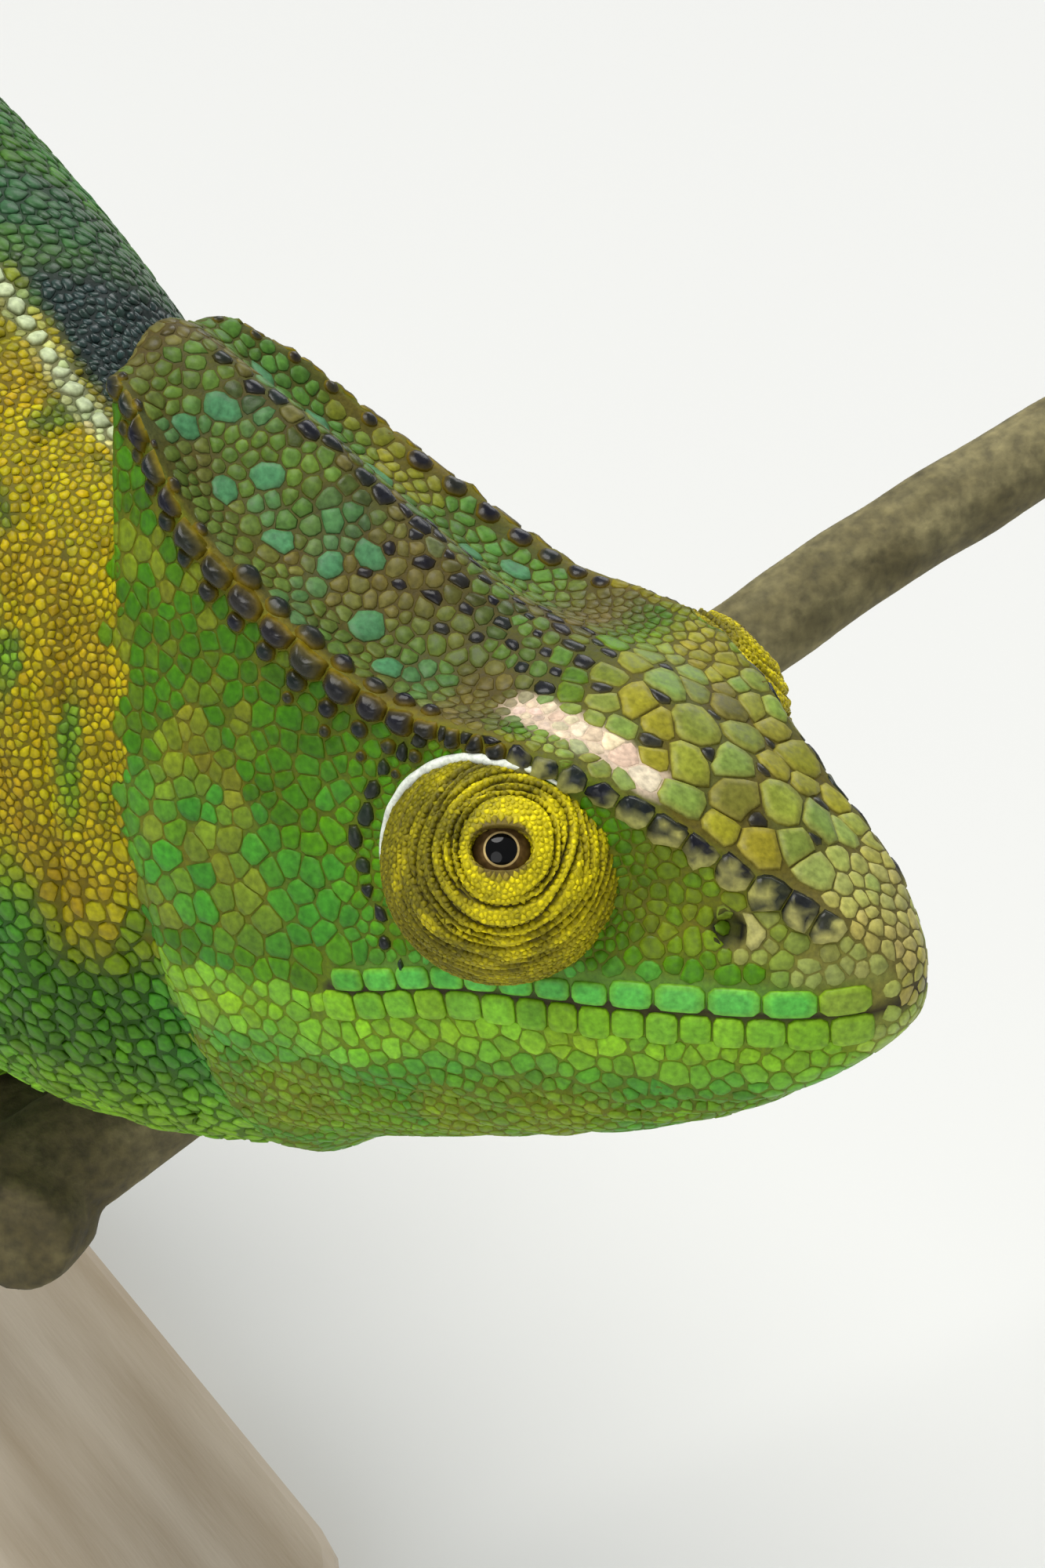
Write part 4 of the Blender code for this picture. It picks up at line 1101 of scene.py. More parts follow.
FLESH = ["head", "neck", "torso", "hips", "turret_left", "turret_right", "tail_base", "tail_outer_turn",
         "tail_middle_turn", "tail_tip"]
FLESH += ["%s_%s" % (leg_name, length) for leg_name in LEGS for length in ("upper", "lower", "foot")]
in_skin = to_head(skin_points)
on_head = skin_kind == 0
head_between = mix(skin_colour * 0.6, COLOURS["ochre"] * 0.7, 0.3)
off_lip = np.abs(in_skin[:, 2] - lip_z(near_half(in_skin)[3]))
between = washed(
    np.where(on_head[:, None], head_between, skin_colour * 0.4),
    ("dark brown", 0.5 * on_crown(in_skin) * on_head),
    ("dark brown", ease((0.9 - off_lip) / 0.5) * on_head * (in_skin[:, 0] > MOUTH_CORNER)),
    # Painted shade: the pit of the nostril is painted black where the opening lies in shadow.
    ("black", ease((1.7 - from_nostril(in_skin)) / 0.5)),
    # The painted highlight streak is laid on the skin between the scales too.
    ("painted highlight pink", 0.75 * ease((2.2 - line_distance(in_skin, HIGHLIGHT_START, HIGHLIGHT_END)) / 0.8)))
add_tint(skin_mesh, between)
skin_mesh.vertices.foreach_set("co", (skin_points * MM).ravel())
skin = finished("skin", skin_mesh, skin_finish)
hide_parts(*FLESH)

# %% [markdown]
# ## Scales with a place of their own
#
# Some plates of the head can be named: the row over the mouth and the row below it, the
# tubercles along the crests, the large plates of the casque and the ovals that ring the
# eye. They are set first, each with its own length, width and height. A row of pale
# tubercles follows the spine.

# %% Named plates of the head and the spine
Plate = namedtuple("Plate", "place normal along long wide height peak colour rim spread")
own_scales = []
FITTED, ROUND, BOX = 1.75, 1.1, 0.0    # how far a plate spreads, as a share of its size; a box ignores it


def on_skin(point):
    place, normal = surface.find_nearest(Vector(point))[:2]
    return np.array(place), np.array(normal)


def add_scale(point, along, long, wide, height, peak=0.0, colour=None, rim=None, spread=FITTED):
    """Note one plate by its half sizes. One without a height only keeps its place free."""
    place, normal = on_skin(point)
    along = np.asarray(along, float)
    own_scales.append(Plate(place, normal, along, long, wide, height, peak, colour, rim, spread))


def add_pair(point, along, *sizes, **words):
    """Set a scale of the head frame on both sides."""
    for side in (1, -1):
        mirror = np.array([1.0, side, 1.0])
        add_scale(from_head(np.array(point) * mirror), np.array(along) * mirror @ TURN.T, *sizes, **words)


def crest_point(station, drop=0.0, out=0.0):
    z = crest_z(station)
    return np.array([lean(station, z - drop), crest_y(station) + out, z - drop])


def crest_place(station, across, inward=0.0):
    """A place beside the crest: across down its outer face, inward over the crown."""
    return crest_point(station, across, 0.15 * across) - np.array([0.0, inward, 0.0])


crest_stations = np.linspace(25.6, -28.2, 140)
crest_way = Way([crest_point(station) for station in crest_stations])
tubercle = smooth_curve([(26, 2.2), (20, 2.9), (12, 2.7), (4, 1.9), (-3, 2.0), (-8, 2.7),
                         (-14, 3.3), (-20, 3.2), (-24, 2.8), (-28, 2.2)])
CANTHUS_START = 2.0                    # from here on the crest runs over the snout
# Rows as across, inward, share of the tubercles' size, rear end and front end.
CREST_ROWS = ((0.0, 0.0, 1.0, -29.0, 26.0), (2.35, 0.0, 0.54, -27.0, 4.0), (-1.15, 1.6, 0.70, -19.5, -3.0),
              (-1.15, 1.3, 0.42, -27.5, -19.5), (4.2, 0.0, 0.34, -17.0, 0.0))
own_draw = np.random.default_rng(5)
for side, lower, height in ((-1, 1.15, 0.36), (1, 1.7, 0.22)):
    mirror = np.array([1.0, side, 1.0])
    for across, inward, share, rear, front in CREST_ROWS:
        mark = 0.8 + abs(across) / 3
        while mark < crest_way.length:
            station = float(np.interp(mark, crest_way.marks, crest_stations))
            long = tubercle(station)
            mark += long * (1 if share > 0.5 else 1.2)
            if not rear < station < front:
                continue
            way = (crest_point(station + 0.5) - crest_point(station - 0.5)) * mirror @ TURN.T
            place = from_head(crest_place(station, across + lower, inward) * mirror)
            canthus = station > CANTHUS_START
            wide = 0.46 * long
            vary = share * own_draw.uniform(0.9, 1.08)
            tall = height * long * vary * (0.6 if canthus else 1.0)
            add_scale(place, way, 0.49 * long * vary, wide * vary, tall, peak=0.3 if canthus else 1.0,
                      colour="blue black", rim="beige" if canthus else "ochre",
                      spread=FITTED if canthus else ROUND)

MOUTH_GAP = 0.05                       # half the dark line between the lips
UPPER_LABIAL, REAR_LABIAL = 1.16, 0.95                              # half heights of the plates
LABIAL_EDGES = [28.4, 25.3, 21.7, 18.0, 14.4, 11.3] + [11.3 - 2.7 * k for k in range(1, 9)]
LOWER_LABIAL = 2.6


def lip_point(station, rise=0.0):
    return np.array([station, lip_y(station), lip_z(station) + rise])


def lip_plate(front, back, rise, tall, height):
    """A plate beside the mouth, as long as the lip between two stations, on both sides."""
    way = lip_point(front) - lip_point(back)
    middle = lip_point((front + back) / 2, rise)
    add_pair(middle, way, np.linalg.norm(way) / 2, tall, height, rim="lime", spread=BOX)


for station in np.arange(29.4, MOUTH_CORNER, -0.8):
    tall = UPPER_LABIAL if station > 10 else REAR_LABIAL
    for rise in (0.0, 2 * tall + MOUTH_GAP):
        add_pair(lip_point(station, rise), (1, 0, 0), 0.5, MOUTH_GAP, None)
for front, back in zip(LABIAL_EDGES, LABIAL_EDGES[1:]):
    tall = UPPER_LABIAL if front > 12 else REAR_LABIAL
    lip_plate(front, back, MOUTH_GAP + tall, tall, 0.34)
lower_edges = [28.6]
while lower_edges[-1] > -9.5:
    lower_edges.append(lower_edges[-1] - LOWER_LABIAL * own_draw.uniform(0.85, 1.12))
for front, back in zip(lower_edges, lower_edges[1:]):
    tall = 1.35 * own_draw.uniform(0.88, 1.08)
    lip_plate(front, back, -MOUTH_GAP - tall, tall, 0.32)

add_pair(NOSTRIL, (0.45, 0, 1), 1.2, 0.7, None)
add_pair(NOSTRIL + (1.75, 0, 0.2), (1, 0, -0.6), 1.25, 1.0, 0.34, colour="beige", rim="brown olive")

EYE_RING = 10.6
for degrees in range(92, 236, 11):
    turn = math.radians(degrees)
    out = EYE_RING + own_draw.uniform(-0.3, 0.7)
    vary = own_draw.uniform(0.6, 1.0)
    place = EYE_CENTRE + (out * math.cos(turn), 2.6, out * math.sin(turn))
    add_pair(place, (-math.sin(turn), 0, math.cos(turn)), 0.85 * vary, 0.52 * vary, 0.32,
             peak=0.8, colour="blue black", rim="dark brown")

CASQUE_PLATES = ((-30.6, 5.0), (-28.8, 2.8), (-26.3, 6.3), (-24.2, 3.9), (-21.2, 6.4),
                 (-17.6, 5.4), (-15.4, 3.6), (-13.2, 6.9), (-10.4, 8.9))
SKY = 60.0


def from_above(x, y):
    """Place on the head straight below a point."""
    place = surface.ray_cast(Vector(from_head((x, y, SKY))), Vector((0, 0, -1)))[0]
    return np.array(place)


for x, y in CASQUE_PLATES:
    for side in (1, -1):
        vary = own_draw.uniform(0.8, 1.1)
        add_scale(from_above(x, side * y), TURN[:, 0], 1.25 * vary, 0.95 * vary, 0.14, colour="casque teal",
                  rim="brown olive")
for k, x in enumerate(np.arange(-30.5, -12.0, 1.55)):
    vary = own_draw.uniform(0.7, 1.05)
    add_scale(from_above(x, 0.5 * math.sin(2.4 * k)), TURN[:, 0], 0.9 * vary, 0.72 * vary, 0.3, peak=0.8,
              colour="brown olive" if k % 3 == 1 else "blue black", rim="dark brown")
# Limits in x, limits in y, and the number of plates.
DARK_PATCHES = ((-15.5, 2.0, -4.5, 3.5, 34), (0.0, 22.0, -5.0, 5.0, 13))
for rear, front, right, left, count in DARK_PATCHES:
    for k in range(count):
        x = mix(rear, front, (k + 0.5) / count)
        y = mix(right, left, (0.618 * k) % 1)
        vary = own_draw.uniform(0.42, 0.85)
        add_scale(from_above(x, y), TURN[:, 0], vary, 0.62 * vary, 0.22 * vary, peak=0.8, colour="blue black",
                  rim="dark brown")
SPINE_STEP, PALE_SPINE = 2.0, 44.0     # the row is palest behind the head
spine_way = Way(spine_line)
for distance in np.arange(2.0, spine_way.length, SPINE_STEP):
    add_scale(spine_way.at(distance), (1, 0, 0), 0.85, 0.7, 0.45, peak=0.6,
              colour="off white" if distance < PALE_SPINE else None)
print("plates with a place of their own:", len(own_scales))

# %% [markdown]
# ## All other scales
#
# Everywhere else many random candidates are drawn, closer where the scales are smaller,
# and thinned until each has the room that its size asks for. That spacing is irregular
# but even, as on a real skin.

# %% Size of a scale by its place
EYE_KIND = KINDS.index("eye")


def scale_size(points, kind, place):
    """Width of the scales at these points."""
    h = to_head(points)
    x, y, z, station = near_half(h)
    over_lip = z - lip_z(station)
    cheek = mix(1.45, 1.3, ease((x - 6) / 8))
    crown = mix(1.2, 2.9, ease((x + 1) / 7))
    head = mix(cheek, crown, on_crown(h))
    head = mix(head, 1.2, ease((x - 20) / 6))
    head = mix(head, 1.85, ease((-6 - x) / 5) * ease((3 - z) / 4) * ease((z + 12) / 4))
    from_eye = np.linalg.norm((np.stack([x, y, z], axis=1) - EYE_CENTRE) * (1.0, 0.5, 1.0), axis=1)
    head = mix(0.85, head, ease((from_eye - 9.6) / 4.0))
    head = mix(head, 1.5, ease((-over_lip - 2.8) / 0.8))
    head = mix(head, 0.95, ease((-over_lip - 5.0) / 5.0))
    behind = place[:, 1] * BODY_END
    low_neck = ease((-6 - (points[:, 2] - EYE_HEIGHT)) / 8) * ease((36 - behind) / 10)
    trunk = mix(mix(0.72, 1.5, ease((behind - 14) / 34)), 1.5, low_neck)
    tail_size = mix(1.4, 0.75, place[:, 1])
    same = np.ones(len(x))
    return np.choose(kind, [head, trunk, tail_size, 1.2 * same, 0.9 * same, 9.0 * same])


# %% Draw candidates and thin them out
PACKING = 0.84                         # closest spacing as a share of the scales' size
OVERDRAW = 6.0


def candidates(points, triangles, normals, size, draw):
    """Random places on a mesh, with normals, as many as the size asks for."""
    corners = points[triangles]
    area = np.linalg.norm(np.cross(corners[:, 1] - corners[:, 0], corners[:, 2] - corners[:, 0]), axis=1) / 2
    weight = np.cumsum(area / size ** 2 * np.maximum(1, size - 0.5))
    pick = np.searchsorted(weight, draw.random(int(OVERDRAW * weight[-1])) * weight[-1])
    share = draw.dirichlet((1, 1, 1), len(pick))[:, :, None]
    return (corners[pick] * share).sum(axis=1), unit((normals[triangles[pick]] * share).sum(axis=1)), pick


def frames(normals, along):
    """Two directions in the surface at each normal, the first as near as it can to along."""
    first = unit(along - normals * np.sum(along * normals, axis=1, keepdims=True))
    return first, np.cross(normals, first)


def reach(vectors, first, second, half):
    """Half width of an oval scale towards each vector."""
    a, b = np.sum(vectors * first, axis=-1), np.sum(vectors * second, axis=-1)
    length = np.maximum(np.hypot(a, b), 1e-6)
    return np.hypot(half[..., 0] * a, half[..., 1] * b) / length


def thinned(points, size, fixed_places, fixed_frames, fixed_half):
    """Indices of candidates that leave each other and the fixed scales their room."""
    tree = tree_of(points)
    free = np.ones(len(points), bool)
    for place, first, second, half in zip(fixed_places, *fixed_frames, fixed_half):
        near = np.array([hit[1] for hit in tree.find_range(place, half.max() + 1.2)], int)
        if len(near):
            away = points[near] - place
            room = reach(away, first, second, half) + 0.5 * size[near]
            free[near[np.linalg.norm(away, axis=1) < 0.9 * room]] = False
    kept = []
    for index, point in enumerate(points):
        if free[index]:
            kept.append(index)
            own = size[index]
            for _, other, distance in tree.find_range(point, PACKING * own * 1.15):
                if distance < PACKING * 0.5 * (own + size[other]):
                    free[other] = False
    return np.array(kept)


def neighbours(points, count):
    tree = tree_of(points)
    return np.array([[hit[1] for hit in tree.find_n(point, count + 1)[1:]] for point in points])


def settled(points, half, fixed_count, near, tree, rounds=2):
    """Let free scales that are too close push each other along the surface."""
    size = half.mean(axis=1)
    for _ in range(rounds):
        away = points[:, None] - points[near]
        distance = np.linalg.norm(away, axis=2) + 1e-9
        push = np.maximum(0, size[:, None] + size[near] - distance) * 0.4
        points = points + (away / distance[..., None] * push[..., None]).sum(axis=1) * (
            np.arange(len(points)) >= fixed_count)[:, None]
        hits = [tree.find_nearest(Vector(point)) for point in points[fixed_count:]]
        points[fixed_count:] = [hit[0] for hit in hits]
    normals = np.array([tree.find_nearest(Vector(point))[1] for point in points])
    return points, normals


# %% [markdown]
# ## From a place to a plate
#
# A plate grows until it meets its neighbours: in each direction round its place its rim
# stops at the nearest border with them, less half a groove. The border with a like plate
# is straight, and a large plate bends round a small one. A rounded minimum of those
# borders keeps the corners soft. Tubercles stay round, and the plates along the lips are
# boxes. Rings at set shares of the rim's width and height then give the plate its crown,
# flat on a lip plate and pointed on a tubercle.

# %% Rims of all plates
CORNER_SHARPNESS = 26
BOX_SHARPNESS = 5


def rims(points, normals, frame_axes, half, near, chosen, sides, groove, tree, spread):
    """Rim points of the chosen plates, in order round each plate."""
    first, second = frame_axes
    p, n, t, b = points[chosen], normals[chosen], first[chosen], second[chosen]
    around = near[chosen]
    away = points[around] - p[:, None]
    distance = np.linalg.norm(away, axis=2)
    own = reach(away, t[:, None], b[:, None], half[chosen][:, None])
    other = reach(away, first[around], second[around], half[around])
    taken = np.minimum(distance * other / (own + other), other * np.maximum(spread[around], 1.0))
    border = np.maximum(distance - taken - groove / 2, 0.08)
    flat = np.stack([np.sum(away * t[:, None], axis=2), np.sum(away * b[:, None], axis=2)], axis=2)
    flat /= np.maximum(np.linalg.norm(flat, axis=2, keepdims=True), 1e-6)
    faces_same_way = np.sum(normals[around] * n[:, None], axis=2) > 0.15
    angle = 2 * math.pi * np.arange(sides) / sides
    turn = np.stack([np.cos(angle), np.sin(angle)])
    towards = np.where(faces_same_way[..., None], np.maximum(flat @ turn, 0), 0)
    closeness = towards ** np.clip(own / other, 1, 5)[..., None] / border[..., None]
    long, wide = half[chosen][:, :1], half[chosen][:, 1:]
    limit = np.maximum(spread[chosen][:, None], 0.1) * np.hypot(long * turn[0], wide * turn[1])
    sharp = (closeness ** CORNER_SHARPNESS).sum(axis=1) + limit ** -CORNER_SHARPNESS
    radius = sharp ** (-1 / CORNER_SHARPNESS)
    flat_box = (np.abs(turn[0]) / (long - groove / 2)) ** BOX_SHARPNESS
    box = (flat_box + (np.abs(turn[1]) / (wide - groove / 2)) ** BOX_SHARPNESS) ** (-1 / BOX_SHARPNESS)
    radius = np.where((spread[chosen] == BOX)[:, None], box, radius)
    out = turn[0][:, None] * t[:, None] + turn[1][:, None] * b[:, None]
    rim = p[:, None] + radius[..., None] * out
    flat_rim = rim.reshape(-1, 3)
    hits = np.array([tree.find_nearest(Vector(point))[0] for point in flat_rim])
    return hits.reshape(rim.shape)


# %% Closed plates as one joined mesh
ROOT_DEPTH = 0.5
RIM_DEPTH = 0.04
PATCH = 0.0015                         # half the width of a plate's patch on the unwrap


def plate_mesh(name, p, n, rim, height, peak, colour, edge_colour, fill, patch_at, rings, finish=None):
    """Root, rim, one or two raised rings and a crown for each plate.

    The fill is the colour's share of the first ring. Below zero the colour is a cap.
    """
    count, sides = rim.shape[:2]
    if rings == 2:
        shares = [mix(0.91, 0.80, peak), mix(0.56, 0.44, peak)]
        lifts = [mix(0.72, 0.52, peak), mix(0.97, 0.90, peak)]
    else:
        shares, lifts = [mix(0.84, 0.68, peak)], [mix(0.86, 0.72, peak)]
    middle = rim.mean(axis=1)
    middle = p + (middle - p) * 0.7
    layers = [(p - n * ROOT_DEPTH)[:, None], rim - n[:, None] * RIM_DEPTH]
    for share, lift in zip(shares, lifts):
        ring = middle[:, None] + (rim - middle[:, None]) * share[:, None, None]
        layers.append(ring + n[:, None] * (height * lift)[:, None, None])
    layers.append((middle + n * height[:, None])[:, None])
    verts = np.concatenate(layers, axis=1)
    each = verts.shape[1]
    around = np.arange(sides)
    following = (around + 1) % sides
    faces = [np.stack([1 + following, 1 + around, 0 * around], axis=1)]
    for k in range(rings):
        low, high = 1 + k * sides, 1 + (k + 1) * sides
        faces.append(np.stack([low + around, low + following, high + following], axis=1))
        faces.append(np.stack([low + around, high + following, high + around], axis=1))
    last = 1 + rings * sides
    faces.append(np.stack([last + around, last + following, 0 * around + each - 1], axis=1))
    pattern = np.concatenate(faces)
    corners = (pattern[None] + (np.arange(count) * each)[:, None, None]).reshape(-1, 3)

    angle = 2 * math.pi * around / sides
    circle = np.stack([np.cos(angle), np.sin(angle)], axis=1)
    radii = [1.0, 0.66, 0.33] if rings == 2 else [1.0, 0.5]
    spots = np.concatenate([np.zeros((1, 2))] + [0.72 * r * circle for r in radii] + [np.zeros((1, 2))])
    loops = spots[pattern]
    half_turn = angle + math.pi / sides
    loops[:sides, 2] = np.stack([np.cos(half_turn), np.sin(half_turn)], axis=1)
    uv = (patch_at[:, None, None] + PATCH * loops[None]).reshape(-1, 2)

    tint = np.repeat(colour[:, None], each, axis=1)
    tint[:, :1 + sides] = 0.8 * edge_colour[:, None]
    tint[:, 1 + sides:1 + 2 * sides] = mix(edge_colour[:, None], colour[:, None], np.abs(fill)[:, None, None])
    rise = (verts[..., 2] - middle[:, None, 2]) / np.ptp(verts[..., 2], axis=1)[:, None]
    cap = ease(0.60 + 1.2 * rise + 1.6 * (speckle(verts.reshape(-1, 3), 0.7, 71).reshape(rise.shape) - 0.5))
    capped = mix(edge_colour[:, None], colour[:, None], cap[..., None])
    tint = np.where((fill < 0)[:, None, None], capped, tint)
    mesh = bpy.data.meshes.new(name)
    mesh.vertices.add(count * each)
    mesh.vertices.foreach_set("co", (verts * MM).ravel())
    mesh.loops.add(corners.size)
    mesh.loops.foreach_set("vertex_index", corners.ravel())
    mesh.polygons.add(len(corners))
    mesh.polygons.foreach_set("loop_start", np.arange(0, corners.size, 3))
    mesh.update(calc_edges=True)
    add_tint(mesh, tint.reshape(-1, 3))
    mesh.uv_layers.new(name="OFBake").data.foreach_set("uv", uv.ravel())
    return finished(name, mesh, finish or scale_finish)


# %% [markdown]
# ## The coat
#
# The skin's scales are placed all together, so that plates on both sides of a joint fit
# one another, and then made in pieces: large plates with more points on the head, and
# simpler ones on the body, tail, limbs and feet.

# %% Place all scales of the skin
draw = np.random.default_rng(11)
triangle_kind = skin_kind[skin_triangles[:, 0]]
triangle_place = skin_place[skin_triangles[:, 0]]
triangle_size = scale_size(skin_points[skin_triangles[:, 0]], triangle_kind, triangle_place)
new_points, new_normals, pick = candidates(skin_points, skin_triangles, skin_normals, triangle_size, draw)
new_size = triangle_size[pick] * draw.uniform(0.8, 1.2, len(pick))
keep = triangle_kind[pick] != EYE_KIND
new_points, new_normals, new_size = new_points[keep], new_normals[keep], new_size[keep]

own_places = np.array([plate.place for plate in own_scales])
own_normals = np.array([plate.normal for plate in own_scales])
own_along = np.array([plate.along for plate in own_scales])
own_half = np.array([(plate.long, plate.wide) for plate in own_scales])
own_frames = frames(own_normals, own_along)
kept = thinned(new_points, new_size, own_places, own_frames, own_half)
places = np.vstack([own_places, new_points[kept]])
new_head = to_head(new_points[kept])
low_head = ease((-4 - new_head[:, 2] + lip_z(new_head[:, 0])) / 3) * (np.abs(new_head[:, 0]) < 28)
stretch = draw.uniform(1.0, 1.28, (len(kept), 1)) * (1 + 0.18 * low_head[:, None])
half = np.vstack([own_half, new_size[kept, None] / 2 * np.hstack([stretch, 1 / stretch])])
NEIGHBOURS, NEAREST = 22, 10           # as many bound a plate, and as many push it
near = neighbours(places, NEIGHBOURS)
places, place_normals = settled(places, half, len(own_places), near[:, :NEAREST], surface)
along = TURN[:, 0] + 0.8 * (1 - 0.7 * low_head[:, None]) * draw.normal(size=(len(kept), 3))
along = np.vstack([own_along, along])
axes = frames(place_normals, along)
nearest = np.array([form_tree.find(point)[1] for point in places])
place_form = point_form[nearest]
place_kind = kind_of_form[place_form]
print("scales:", len(places), "by kind:", dict(zip(KINDS, np.bincount(place_kind, minlength=6))))

# %% Heights, colours and patches of all scales
ATLAS = {"head": (0.0, 0.0, 0.5, 0.34), "trunk": (0.0, 0.34, 0.62, 0.42), "tail": (0.0, 0.76, 1.0, 0.24)}
for k, leg_name in enumerate(LEGS):
    ATLAS["limb_" + leg_name] = (0.62 + 0.19 * (k % 2), 0.34 + 0.13 * (k // 2), 0.19, 0.13)
    ATLAS["foot_" + leg_name] = (0.62 + 0.19 * (k % 2), 0.60 + 0.08 * (k // 2), 0.19, 0.08)
ATLAS["eye_cone"] = (0.5, 0.0, 0.5, 0.34)
sheet = np.array([ATLAS[name] for name in form_list])[place_form]
round_place = all_form_places[nearest]
patches = sheet[:, :2] + sheet[:, 2:] * round_place[:, ::-1]

CAPPED = -1.0                          # fill of a plate that is dark above and pale below
size = half.sum(axis=1)
made = np.ones(len(size), bool)
rise_by_kind = np.choose(place_kind, [0.05, 0.10, 0.12, 0.12, 0.15, 0])
heights = (0.05 + size * rise_by_kind) * draw.uniform(0.7, 1.3, len(size))
heights = heights + 0.16 * ease(size - 1.9) * (place_kind == 0)
peaks = np.where(place_kind == 0, 0.1, 0.35) * draw.uniform(0.4, 1.6, len(size))
colours = paint(places, place_normals, place_form, round_place)
vary = draw.uniform(-1, 1, (len(size), 1)) * np.where(place_kind[:, None] == 0, 0.15, 0.22)
colours = colours * (1 + vary) * draw.uniform(0.93, 1.07, (len(size), 3))
head_places = to_head(places)
upper_head = (on_crown(head_places) * (place_kind == 0))[:, None]
warm = ease((speckle(places, 3.5, 61) - 0.35) * 4)[:, None]
line = mix(COLOURS["ochre"] * 0.9, mix(COLOURS["dark brown"], COLOURS["ochre"] * 0.6, warm), upper_head)
on_snout = upper_head * ease((head_places[:, 0] - 1) / 4)[:, None]
line = mix(line, 1.1 * mix(COLOURS["ochre"], COLOURS["beige"], 0.5), on_snout)
head_edges = mix(colours * 0.85, line, 0.28 + 0.37 * upper_head)
edge_colours = np.where(place_kind[:, None] == 0, head_edges, colours * 0.6)
fills = 0.85 - 0.2 * on_snout[:, 0]
spread = np.full(len(size), FITTED)
for k, plate in enumerate(own_scales):
    made[k] = plate.height is not None
    spread[k] = plate.spread
    if made[k]:
        heights[k], peaks[k] = plate.height * draw.uniform(0.85, 1.15), plate.peak
    if plate.colour:
        colours[k] = mix(colours[k], COLOURS[plate.colour], draw.uniform(0.93, 1.0))
        fills[k] = CAPPED if plate.rim == "beige" else 0.85
    if plate.rim:
        edge_colours[k] = mix(edge_colours[k], COLOURS[plate.rim], 0.7)
    if plate.spread == BOX:
        fills[k] = 0.65
# Painted highlight: plates along the sunlit streak get pale edges and lower crowns.
from_highlight = line_distance(head_places, HIGHLIGHT_START, HIGHLIGHT_END)
highlight_streak = ease((2.2 - from_highlight) / 0.8) * (place_kind == 0) * (peaks < 0.7)
edge_colours = mix(edge_colours, colours * 0.92, highlight_streak[:, None])
heights = heights * (1 - 0.6 * highlight_streak)

# %% Make the coat's pieces
LARGE = 1.35


def add_coat(name, chosen, sides, rings, groove):
    chosen = chosen[made[chosen]]
    rim = rims(places, place_normals, axes, half, near, chosen, sides, groove, surface, spread)
    plate_mesh(name, places[chosen], place_normals[chosen], rim, heights[chosen], peaks[chosen],
               colours[chosen], edge_colours[chosen], fills[chosen], patches[chosen], rings)
    return len(chosen) * sides * (2 + 2 * rings)


in_body = places - BODY_ORIGIN
head_left = head_places[:, 1] > 0
on_right = in_body[:, 1] < 0
kind_is = {name: place_kind == k for k, name in enumerate(KINDS)}
is_box = spread == BOX
is_large = (size > LARGE) & ~is_box
neck_part, front_part = in_body[:, 0] > 40, in_body[:, 0] > -5
coat = [("scales_labial", is_box, 20, 2, 0.06),
        ("scales_head_large_right", kind_is["head"] & is_large & ~head_left, 14, 2, 0.04),
        ("scales_head_large_left", kind_is["head"] & is_large & head_left, 12, 2, 0.04),
        ("scales_head_small", kind_is["head"] & ~is_large & ~is_box, 10, 1, 0.04)]
for word, side in (("right", on_right), ("left", ~on_right)):
    on_side = kind_is["trunk"] & side
    coat += [("scales_neck_" + word, on_side & neck_part, 8, 1, 0.05),
             ("scales_trunk_front_" + word, on_side & front_part & ~neck_part, 9, 1, 0.06),
             ("scales_trunk_rear_" + word, on_side & ~front_part, 8, 1, 0.06)]
coat += [("scales_tail_root", kind_is["tail"] & (round_place[:, 1] < 0.3), 8, 1, 0.06),
         ("scales_tail_coil", kind_is["tail"] & (round_place[:, 1] >= 0.3), 7, 1, 0.05)]
for leg_name in LEGS:
    in_leg = np.array([name.endswith(leg_name) for name in form_list])[place_form]
    coat.append(("scales_limb_" + leg_name, kind_is["limb"] & in_leg, 8, 1, 0.05))
    coat.append(("scales_foot_" + leg_name, kind_is["foot"] & in_leg, 7, 1, 0.04))
coat_faces = {name: add_coat(name, np.flatnonzero(chosen), *shape) for name, chosen, *shape in coat}
print("coat:", sum(coat_faces.values()), "triangles, largest piece", max(coat_faces.values()))

# %% [markdown]
# ## Perch
#
# The animal holds a cut length of a small branch with a side shoot. It is two tapering
# tubes wrapped into one at the fork, then roughened along its own length by noise that is
# stretched that way, as young bark is.

# %% Perch of two grown-together lengths
PERCH_VOXEL = 0.75
BARK_RELIEF = 0.35
stem = Way(rounded([(-108, 0.8, -58.5), (-90, 0, -58), (-40, 0, -58), (10, 0, -58), (28, 0, -58),
                    (34, -0.25, -58), (40, -3, -57.6), (45.5, -7, -57)], 120))
shoot = Way(rounded([(40, -5.6, -56.9), (39.5, 28, -42), (40, 67.5, -20.7), (40, 95.9, -9.7),
                     (40.5, 109, -5.4)], 100))
stem_radius = smooth_curve([(0, 5.5), (1, 5.9), (stem.length - 14, 5.9), (stem.length - 6, 6.2),
                            (stem.length - 1, 5.3), (stem.length, 4.9)])
shoot_radius = smooth_curve([(0, 5.7), (12, 5.3), (80, 4.1), (shoot.length - 1, 3.8), (shoot.length, 3.5)])
wood = bmesh.new()
for way, radius in ((stem, stem_radius), (shoot, shoot_radius)):
    marks = np.linspace(0.05, way.length - 0.05, 90)
    loft(wood, [from_body(ring) for ring in way.rings(marks, radius(marks), 24)])
perch_mesh = wrapped(wood, PERCH_VOXEL)
wood.free()
points, triangles = arrays_of(perch_mesh)
points = smoothed(points, edges_of(perch_mesh), 4)
normals = corner_normals(points, triangles)
local = points - BODY_ORIGIN
on_shoot = ease((local[:, 1] - 2.0) / 6.0)
stem_lie = np.array([0.22, 1.0, 1.0])
shoot_lie = np.array([1.0, 0.22, 0.6])
ribs = mix(speckle(local * stem_lie, 1.5, 21), speckle(local * shoot_lie, 1.5, 22), on_shoot)
